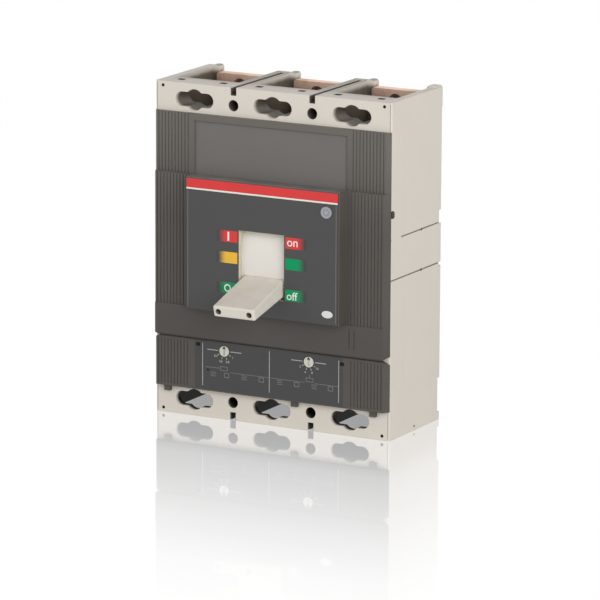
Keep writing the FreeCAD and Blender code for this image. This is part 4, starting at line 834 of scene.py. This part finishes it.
class BREAKER_OT_lever(Operator):
    """Finish the lever, its shield and the frame round its opening"""
    bl_idname = "breaker.lever"
    bl_label = "Lever"

    def execute(self, context):
        colours, _ = settings(context)
        turn = math.radians(14.5)
        on_axis, hole_radius = mm(13.6, -32.0, -1.5), 2.4 * MM

        def holes(tree, place, base):
            """The two blind holes in the tip get painted shade: how near a point is to either hole's axis, by
            the length of its offset crossed with the axis."""
            x, y, z = parts_of(tree, place)
            mirrored = add_node(tree, "CombineXYZ", {0: away_from(tree, x), 1: y, 2: z}).outputs[0]
            offset = vector_math(tree, "SUBTRACT", mirrored, on_axis)[0]
            crossed = vector_math(tree, "CROSS_PRODUCT", offset, (0.0, -math.cos(turn), -math.sin(turn)))[0]
            near = number(tree, "LESS_THAN", vector_math(tree, "LENGTH", crossed)["Value"], hole_radius)
            return blend_colour(tree, product(tree, near, 0.85), base, rgba(linear(84, 68, 58)))

        def rim(tree, place, base):
            """Painted shade: the frame's front-facing faces take the dark film colour, its inner walls stay
            pale.
            """
            front = number(tree, "LESS_THAN", parts_of(tree, face_normal(tree))["Y"], -0.8)
            return blend_colour(tree, front, base, rgba(colours.film))

        dress(plastic("Lever plastic", colours.lever, 0.42, mottle=0.03, speck=0.03, wear=0.4,
                      rubbed=linear(238, 232, 222), dust=0.24, soft_edge=0.6, field=holes), "lever")
        dress(plastic("Shield plastic", colours.shield, 0.36, mottle=0.02, speck=0.02, wear=0.1, dust=0.05),
              "lever_shield")
        dress(plastic("Bezel plastic", linear(206, 201, 180), 0.45, mottle=0.03, wear=0.1, field=rim),
              "lever_bezel")
        return {"FINISHED"}


class BREAKER_OT_button(Operator):
    """Finish the trip button and give it its dished face"""
    bl_idname = "breaker.button"
    bl_label = "Trip button"

    def execute(self, context):
        colours, _ = settings(context)
        dress(plastic("Button plastic", colours.button, 0.35, mottle=0.04, wear=0.5), "trip_button")
        low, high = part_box("trip_button")
        # the stem's collar is wider than the face, so the middle of the box is the button's axis
        centre = ((low[0] + high[0]) / 2, low[1], (low[2] + high[2]) / 2)
        profile = np.array([(0.0, 0.3), (4.4, 0.3), (4.4, -0.02), (4.1, -0.28), (3.5, -0.28), (3.1, 0.0),
                            (1.7, 0.06), (1.5, -0.12), (0.0, -0.18)]) * MM
        pale = plastic("Button face", tuple(min(1.0, c * 1.35) for c in colours.button), 0.3, wear=0.4)
        turned_piece("button_face", profile, centre, pale, "button")
        self.spring(mm(57.5, 46.5))
        return {"FINISHED"}

    def spring(self, axis):
        """The spring round the stem: a helix of (r cos a, a, r sin a)
        about the stem, with a round section of its own radius."""
        turns, steps_per_turn = 5, 28
        coil, wire, back, front = mm(4.2, 0.36, -86.5, -97.1)
        angle = np.linspace(0, turns * 2 * math.pi, turns * steps_per_turn + 1)[:, None]
        around = ring(8)[None]
        depth = back + (front - back) * angle / angle[-1] + wire * np.sin(around)
        radius = coil + wire * np.cos(around) + 0 * angle
        grid = np.stack([axis[0] + radius * np.cos(angle), depth, axis[1] + radius * np.sin(angle)], axis=-1)
        wound = add_grid("button_coil", grid, spring_wire("Button spring wire"), sharp=60.0)
        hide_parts("button_spring")
        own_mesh(wound)


class BREAKER_OT_dials(Operator):
    """Finish both setting dials, and print the label round them"""
    bl_idname = "breaker.dials"
    bl_label = "Dials and label"

    def execute(self, context):
        colours, sizes = settings(context)
        dress(plastic("Dial plastic", linear(214, 212, 202), 0.4, mottle=0.04, wear=0.4),
              "thermal_dial", "magnetic_dial")
        low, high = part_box("trip_unit_cover")
        front = low[1] - sizes.ink
        above, thick = front - sizes.ink, 0.12 * MM
        white = (above, thick, ink("Label ink", linear(196, 196, 192)))
        faint = (above, thick, ink("Faint label ink", linear(132, 132, 130)))
        film = plastic("Label film", tuple(c * 0.84 for c in colours.film), 0.4, mottle=0.03, speck=0.03,
                       grain=0.12, soft_edge=0.1, wear=0.0, dust=0.0)
        self.film(high, front, thick, film)
        uprights = ((-59.4, -72.5, -107), (0.9, -72.5, -106), (62.8, -73, -107))
        strokes("label_rules", [(mm(x, top), mm(x, foot)) for x, top, foot in uprights],
                sizes.line * 0.8, *white)
        strokes("label_cross_rule", [(mm(start, -94.0), mm(end, -94.0)) for start, end in
                                     ((-34.5, 32.5), (41.5, 62.5))], sizes.line * 0.6, *faint)
        for name, x, z in (("left", -40.0, -91.4), ("right", 37.0, -91.6)):
            frame_line(f"setting_box_{name}", mm(x, z), mm(3.3, 1.7), 0.4 * MM, 0.4 * MM, *faint)
        strokes("setting_stems", [(mm(-56.5, -91.4), mm(-43.4, -91.4)), (mm(37.0, -87.6), mm(37.0, -90.0))],
                sizes.line * 0.7, *faint)
        self.scale("thermal_dial", "dial_thermal", ("0.4", "0.6", "0.8", "1"), sizes, white)
        self.scale("magnetic_dial", "dial_magnetic", ("5", "6", "8", "10"), sizes, white)
        self.table(sizes, faint)
        return {"FINISHED"}

    def film(self, high, front, thick, material):
        """The cool film under the print: a plate with a round window for each dial, its rim points set just
        past the dial's radius, pulled back by the film's thickness."""
        half_w, margin, dial_gap = mm(66.6, 0.8, 0.4)
        # the cover's tabs hang below its face, and both covers reach equally far from the middle
        top, bottom = high[2] - margin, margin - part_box("front_cover")[1][2]
        loops = [np.array([(-half_w, bottom), (half_w, bottom), (half_w, top), (-half_w, top)])]
        _, height, radius, _ = self.dial("thermal_dial")
        around = circle(40) * (radius + dial_gap)
        loops += [around + (self.dial(name)[0], height) for name in ("thermal_dial", "magnetic_dial")]
        edges, start = [], 0
        for loop in loops:
            index = start + np.arange(len(loop))
            edges += np.stack([np.roll(index, 1), index], axis=-1).tolist()
            start += len(loop)
        mesh = bpy.data.meshes.new("trip_label")
        mesh.from_pydata(np.insert(np.concatenate(loops), 1, front, axis=1).tolist(), edges, [])
        work = bmesh.new()
        work.from_mesh(mesh)
        bmesh.ops.triangle_fill(work, edges=work.edges[:], use_beauty=True)
        pulled = bmesh.ops.extrude_face_region(work, geom=work.faces[:])["geom"]
        bmesh.ops.translate(work, verts=[part for part in pulled if isinstance(part, bmesh.types.BMVert)],
                            vec=(0, thick, 0))
        work.to_mesh(mesh)
        work.free()
        return add_piece("trip_label", mesh, material, "case")

    def dial(self, name):
        """A dial's middle in x and z, its radius and its front."""
        low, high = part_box(name)
        return (low[0] + high[0]) / 2, (low[2] + high[2]) / 2, (high[0] - low[0]) / 2, low[1]

    def scale(self, node, body, numbers, sizes, layer):
        """Ticks fanned below a dial from the angle to both sides of straight down, numbers outside them."""
        x, z, _, tip = self.dial(node)
        middle = np.array((x, z))
        angle = np.radians(np.linspace(-150, -30, len(numbers)))
        way = np.stack([np.cos(angle), np.sin(angle)], axis=-1)
        line = sizes.line * 0.9
        strokes(f"{node}_ticks", np.stack([way * 5.3 * MM, way * 6.8 * MM], axis=1) + middle, line, *layer)
        for index, text in enumerate(numbers):
            spot = way[index] * 8.8 * MM + middle
            lettering(f"{node}_number_{index + 1}", text, sizes.numeral, spot, *layer)
        leads = np.array([((-5.6, 0.2), (-15.5, 0.2)), ((5.6, 0.2), (15.5, 0.2))]) * MM
        strokes(f"{node}_leads", leads + middle, line, *layer)
        arrow = np.array([((-1.2, 1.9), (0.0, 3.7)), ((1.2, 1.9), (0.0, 3.7))]) * MM
        strokes(f"{node}_arrow", arrow + middle, 0.8 * MM, tip - sizes.ink, 0.2 * MM,
                ink("Arrow ink " + node, linear(52, 50, 48)), body)

    def table(self, sizes, layer):
        """The setting table along the label's foot: three bars and a blank box by turns."""
        for index, x in enumerate((-49.7, -37.6, -21.8, -6.3, 10.2, 25.4, 41.0, 55.6)):
            if index % 2:
                frame_line(f"table_box_{index + 1}", mm(x, -96.6), mm(2.3, 1.9), 0.45 * MM, 0.4 * MM, *layer)
            else:
                rows = [(mm(x - 2.4, z), mm(x + 2.4, z)) for z in (-95.2, -96.7, -98.2)]
                strokes(f"table_bars_{index + 1}", rows, sizes.line * 0.7, *layer)


# ---- operators: inside the case ---------------------------------------------
class BREAKER_OT_current_path(Operator):
    """Finish the copper terminals, contact arms, contacts and braids"""
    bl_idname = "breaker.current_path"
    bl_label = "Current path"

    def execute(self, context):
        colours, _ = settings(context)
        dress(metal("Terminal copper", colours.copper, linear(176, 142, 114), 0.5, age=0.8),
              *per_pole("line_terminal", "load_terminal"))
        dress(metal("Arm copper", colours.copper, linear(146, 98, 76), 0.38, age=0.5),
              *per_pole("contact_arm"))
        dress(metal("Contact silver", linear(206, 204, 200), linear(120, 116, 112), 0.42, age=0.5),
              "moving_contacts", "fixed_contacts")
        woven = woven_copper("Braided copper", colours.copper)
        for pole, x in POLES.items():
            self.braid(pole, x, woven)
        return {"FINISHED"}

    def braid(self, pole, x, material):
        """A loop of braid from the arm's tail to the heater strip: a cubic
        curve of four points in y and z, with a flat rounded section that thins towards the heater."""
        t = np.linspace(0, 1, 29)[:, None]
        tail, second, third, foot = np.array([(-19.9, -51.3), (-16.9, -57.0), (-20.5, -60.2),
                                              (-32.8, -59.75)]) * MM
        centre = ((1 - t) ** 3 * tail + 3 * (1 - t) ** 2 * t * second + 3 * (1 - t) * t ** 2 * third
                  + t ** 3 * foot)
        way = np.gradient(centre, axis=0)
        way /= np.linalg.norm(way, axis=1, keepdims=True)
        side = np.stack([-way[:, 1], way[:, 0]], axis=-1)
        # the section's own half thickness is 1 mm, so this is the braid's in millimetres
        half = 3.0 - 1.3 * t
        loop = rounded_loop(*mm(5.9, 1, 0.8))
        offset = half[:, :, None] * loop[None, :, 1:] * side[:, None]
        spread = np.repeat(x + loop[None, :, :1], len(t), axis=0)
        grid = np.concatenate([spread, centre[:, None] + offset], axis=-1)
        loop_piece = add_grid(f"braid_loop_{pole}", grid, material, None)
        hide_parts(f"flexible_braid_{pole}")
        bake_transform(loop_piece)


class BREAKER_OT_mechanism(Operator):
    """Finish the steel linkage, its pins and springs, and the contact shaft"""
    bl_idname = "breaker.mechanism"
    bl_label = "Mechanism"

    def execute(self, context):
        colours, _ = settings(context)
        dress(metal("Plated steel", colours.steel, linear(120, 116, 104), 0.36, age=0.3),
              "mechanism_plate_left", "mechanism_plate_right", "upper_toggle_links", "lower_toggle_links",
              "handle_yoke")
        dress(metal("Hardened steel", linear(128, 128, 130), linear(84, 80, 76), 0.3, age=0.5),
              "latch_cradle", "knee_pin", "crank_pin", "mechanism_pins", "armature_pins")
        dress(spring_wire("Spring wire"), "main_springs")
        dress(plastic("Shaft thermoset", colours.rotor, 0.5, mottle=0.12, speck=0.2), "contact_shaft")
        return {"FINISHED"}


class BREAKER_OT_arc_chutes(Operator):
    """Finish the arc chutes' boards and splitter plates"""
    bl_idname = "breaker.arc_chutes"
    bl_label = "Arc chutes"

    def execute(self, context):
        colours, _ = settings(context)
        dress(fibre_board("Arc board", colours.board), *per_pole("arc_chute_frame"))
        dress(metal("Splitter steel", linear(176, 172, 164), linear(96, 82, 70), 0.38, age=0.55),
              *per_pole("arc_splitter_plates"))
        return {"FINISHED"}


class BREAKER_OT_trip_unit(Operator):
    """Finish the thermal and magnetic trip parts"""
    bl_idname = "breaker.trip_unit"
    bl_label = "Trip unit"

    def execute(self, context):
        colours, _ = settings(context)
        dress(metal("Heater alloy", linear(158, 140, 112), linear(94, 76, 58), 0.4, age=0.6),
              *per_pole("heater_strip"))
        dress(metal("Bimetal", linear(186, 180, 168), linear(150, 120, 70), 0.26, age=0.7),
              *per_pole("bimetal"))
        dress(metal("Magnet steel", linear(140, 138, 134), linear(88, 78, 66), 0.45, age=0.5),
              *per_pole("magnet_yoke", "armature"))
        brown = tuple(c * 1.15 for c in colours.rotor)
        dress(plastic("Trip bar plastic", brown, 0.42, mottle=0.1, speck=0.12), "trip_bar")
        dress(plastic("Rod nylon", linear(208, 204, 190), 0.38, mottle=0.05), "test_rod")
        return {"FINISHED"}


# ---- operator: the studio -----------------------------------------------------
class BREAKER_OT_stage(Operator):
    """Set the pale glossy floor, soft lamps, world and camera"""
    bl_idname = "breaker.stage"
    bl_label = "Studio"

    def execute(self, context):
        studio = context.scene.breaker_studio
        self.floor(studio.azimuth)
        self.world(context.scene, studio)
        self.lamp("Key", studio.key_power, azimuth=49, elevation=18, distance=2.7, size=1.5)
        self.lamp("Fill", studio.fill_power, azimuth=-38, elevation=20, distance=2.7, size=1.8)
        self.camera(context.scene, studio)
        context.scene.view_settings.view_transform = "Standard"
        return {"FINISHED"}

    def floor(self, azimuth):
        """A wide flat sheet under the case: white to the lens apart from a soft mirrored image that thins out
        with distance and a painted shadow under the case's footprint, and a plain pale surface to the light."""
        reach = 6.0
        mesh = bpy.data.meshes.new("floor")
        level = CAD_BOX[0][2] - 0.05 * MM
        corners = ((-reach, -reach), (reach, -reach), (reach, reach), (-reach, reach))
        mesh.from_pydata([(*corner, level) for corner in corners], [], [(0, 1, 2, 3)])
        material = bpy.data.materials.new("Studio floor")
        material.use_nodes = True
        tree = material.node_tree
        tree.nodes.clear()
        matt = add_node(tree, "BsdfDiffuse", {"Color": (0.8, 0.8, 0.79, 1.0)}).outputs[0]
        glow = add_node(tree, "Emission", {"Color": WHITE, "Strength": 1.04}).outputs[0]
        mirror = add_node(tree, "BsdfGlossy", {"Color": WHITE, "Roughness": 0.03}).outputs[0]
        seen, by_lens = seen_rays(tree)
        x, y, _ = parts_of(tree, add_node(tree, "TexCoord").outputs["Object"])
        under = product(tree, number(tree, "LESS_THAN", away_from(tree, x), CAD_BOX[1][0]),
                        number(tree, "LESS_THAN", away_from(tree, y, -CASE_DEPTH / 2), CASE_DEPTH / 2))
        # painted shadow: under the case, the glow loses 0.56 of its 0.93 and the mirror 0.85 of its share
        glow_share = product(tree, seen, number(tree, "MULTIPLY_ADD", under, -0.56, 0.93))
        share = product(tree, self.mirror_share(tree, x, y, azimuth), by_lens,
                        number(tree, "MULTIPLY_ADD", under, -0.85, 1.0))
        pale = mix_shaders(tree, glow_share, matt, glow)
        tree.links.new(mix_shaders(tree, share, pale, mirror), add_node(tree, "OutputMaterial").inputs[0])
        mesh.materials.append(material)
        floor = bpy.data.objects.new("floor", mesh)
        bpy.context.scene.collection.objects.link(floor)

    def mirror_share(self, tree, x, y, azimuth):
        """How much the floor mirrors: the horizontal distance from the case's foot towards the camera, the
        greater of (-y - front) / cos a and (x - side) / sin a, put through a falling curve."""
        ahead = number(tree, "DIVIDE", number(tree, "SUBTRACT", -CASE_DEPTH, y), math.cos(azimuth))
        beside = number(tree, "DIVIDE", number(tree, "SUBTRACT", x, CAD_BOX[1][0]), math.sin(azimuth))
        full_reach = 0.65
        reach = number(tree, "DIVIDE", number(tree, "MAXIMUM", ahead, beside), full_reach)
        fall = add_node(tree, "ValToRGB", {0: reach})
        stops = ((0.0, 0.58), (0.1, 0.54), (0.19, 0.38), (0.3, 0.31), (0.5, 0.15), (0.66, 0.05), (0.9, 0.0))
        elements = fall.color_ramp.elements
        elements[0].position, elements[1].position = stops[0][0], stops[-1][0]
        for place, _ in stops[1:-1]:
            elements.new(place)
        for element, (_, share) in zip(elements, stops):
            element.color = (share, share, share, 1.0)
        return fall.outputs["Color"]

    def world(self, scene, studio):
        """Even soft light for matt surfaces, and white for what the lens and glossy surfaces see."""
        world = bpy.data.worlds.new("Studio")
        world.use_nodes = True
        tree = world.node_tree
        tree.nodes.clear()
        soft, white = (add_node(tree, "Background", {"Color": colour, "Strength": strength}).outputs[0]
                       for colour, strength in (((1.0, 1.0, 0.995, 1.0), studio.ambient), (WHITE, 1.0)))
        shown, _ = seen_rays(tree)
        tree.links.new(mix_shaders(tree, shown, soft, white), add_node(tree, "OutputWorld").inputs[0])
        scene.world = world

    def lamp(self, name, power, azimuth, elevation, distance, size):
        """A square soft lamp on a sphere about the case, facing its middle."""
        azimuth, elevation = math.radians(azimuth), math.radians(elevation)
        way = Vector((math.sin(azimuth) * math.cos(elevation), -math.cos(azimuth) * math.cos(elevation),
                      math.sin(elevation)))
        light = bpy.data.lights.new(name, "AREA")
        light.energy = power
        light.size = size
        light.color = (1.0, 0.995, 0.985)
        lamp = bpy.data.objects.new(name, light)
        bpy.context.scene.collection.objects.link(lamp)
        lamp.location = way * distance
        lamp.rotation_euler = (-way).to_track_quat("-Z", "Y").to_euler()

    def camera(self, scene, studio):
        """Looks along (-sin a cos e, cos a cos e, -sin e), with up turned about that line by the roll."""
        turn, tilt = studio.azimuth, studio.elevation
        ahead = Vector((-math.sin(turn) * math.cos(tilt), math.cos(turn) * math.cos(tilt), -math.sin(tilt)))
        right = ahead.cross(Vector((0, 0, 1))).normalized()
        up = right.cross(ahead)
        rolled_right = right * math.cos(studio.roll) + up * math.sin(studio.roll)
        rolled_up = up * math.cos(studio.roll) - right * math.sin(studio.roll)
        lens = bpy.data.cameras.new("Camera")
        lens.lens = studio.lens
        lens.sensor_width = 36.0
        lens.clip_end = 50.0
        camera = bpy.data.objects.new("Camera", lens)
        scene.collection.objects.link(camera)
        place = Matrix((rolled_right, rolled_up, -ahead)).transposed().to_4x4()
        place.translation = Vector(studio.eye)
        camera.matrix_world = place
        scene.camera = camera


PIECES = (BREAKER_OT_case, BREAKER_OT_cover, BREAKER_OT_face_plate, BREAKER_OT_lever, BREAKER_OT_button,
          BREAKER_OT_dials, BREAKER_OT_current_path, BREAKER_OT_mechanism, BREAKER_OT_arc_chutes,
          BREAKER_OT_trip_unit, BREAKER_OT_stage)


class BREAKER_PT_panel(Panel):
    bl_idname = "BREAKER_PT_panel"
    bl_label = "Molded Case Breaker"
    bl_space_type = "VIEW_3D"
    bl_region_type = "UI"
    bl_category = "Breaker"

    def draw(self, context):
        for piece in PIECES:
            self.layout.operator(piece.bl_idname)


CLASSES = (BreakerColours, BreakerSizes, BreakerStudio, *PIECES, BREAKER_PT_panel)


def register():
    for item in CLASSES:
        bpy.utils.register_class(item)
    bpy.types.Scene.breaker_colours = PointerProperty(type=BreakerColours)
    bpy.types.Scene.breaker_sizes = PointerProperty(type=BreakerSizes)
    bpy.types.Scene.breaker_studio = PointerProperty(type=BreakerStudio)


def unregister():
    del bpy.types.Scene.breaker_studio
    del bpy.types.Scene.breaker_sizes
    del bpy.types.Scene.breaker_colours
    for item in reversed(CLASSES):
        bpy.utils.unregister_class(item)


def main():
    register()
    bpy.ops.breaker.case()
    bpy.ops.breaker.cover()
    bpy.ops.breaker.face_plate()
    bpy.ops.breaker.lever()
    bpy.ops.breaker.button()
    bpy.ops.breaker.dials()
    bpy.ops.breaker.current_path()
    bpy.ops.breaker.mechanism()
    bpy.ops.breaker.arc_chutes()
    bpy.ops.breaker.trip_unit()
    bpy.ops.breaker.stage()


if __name__ == "__main__":
    main()
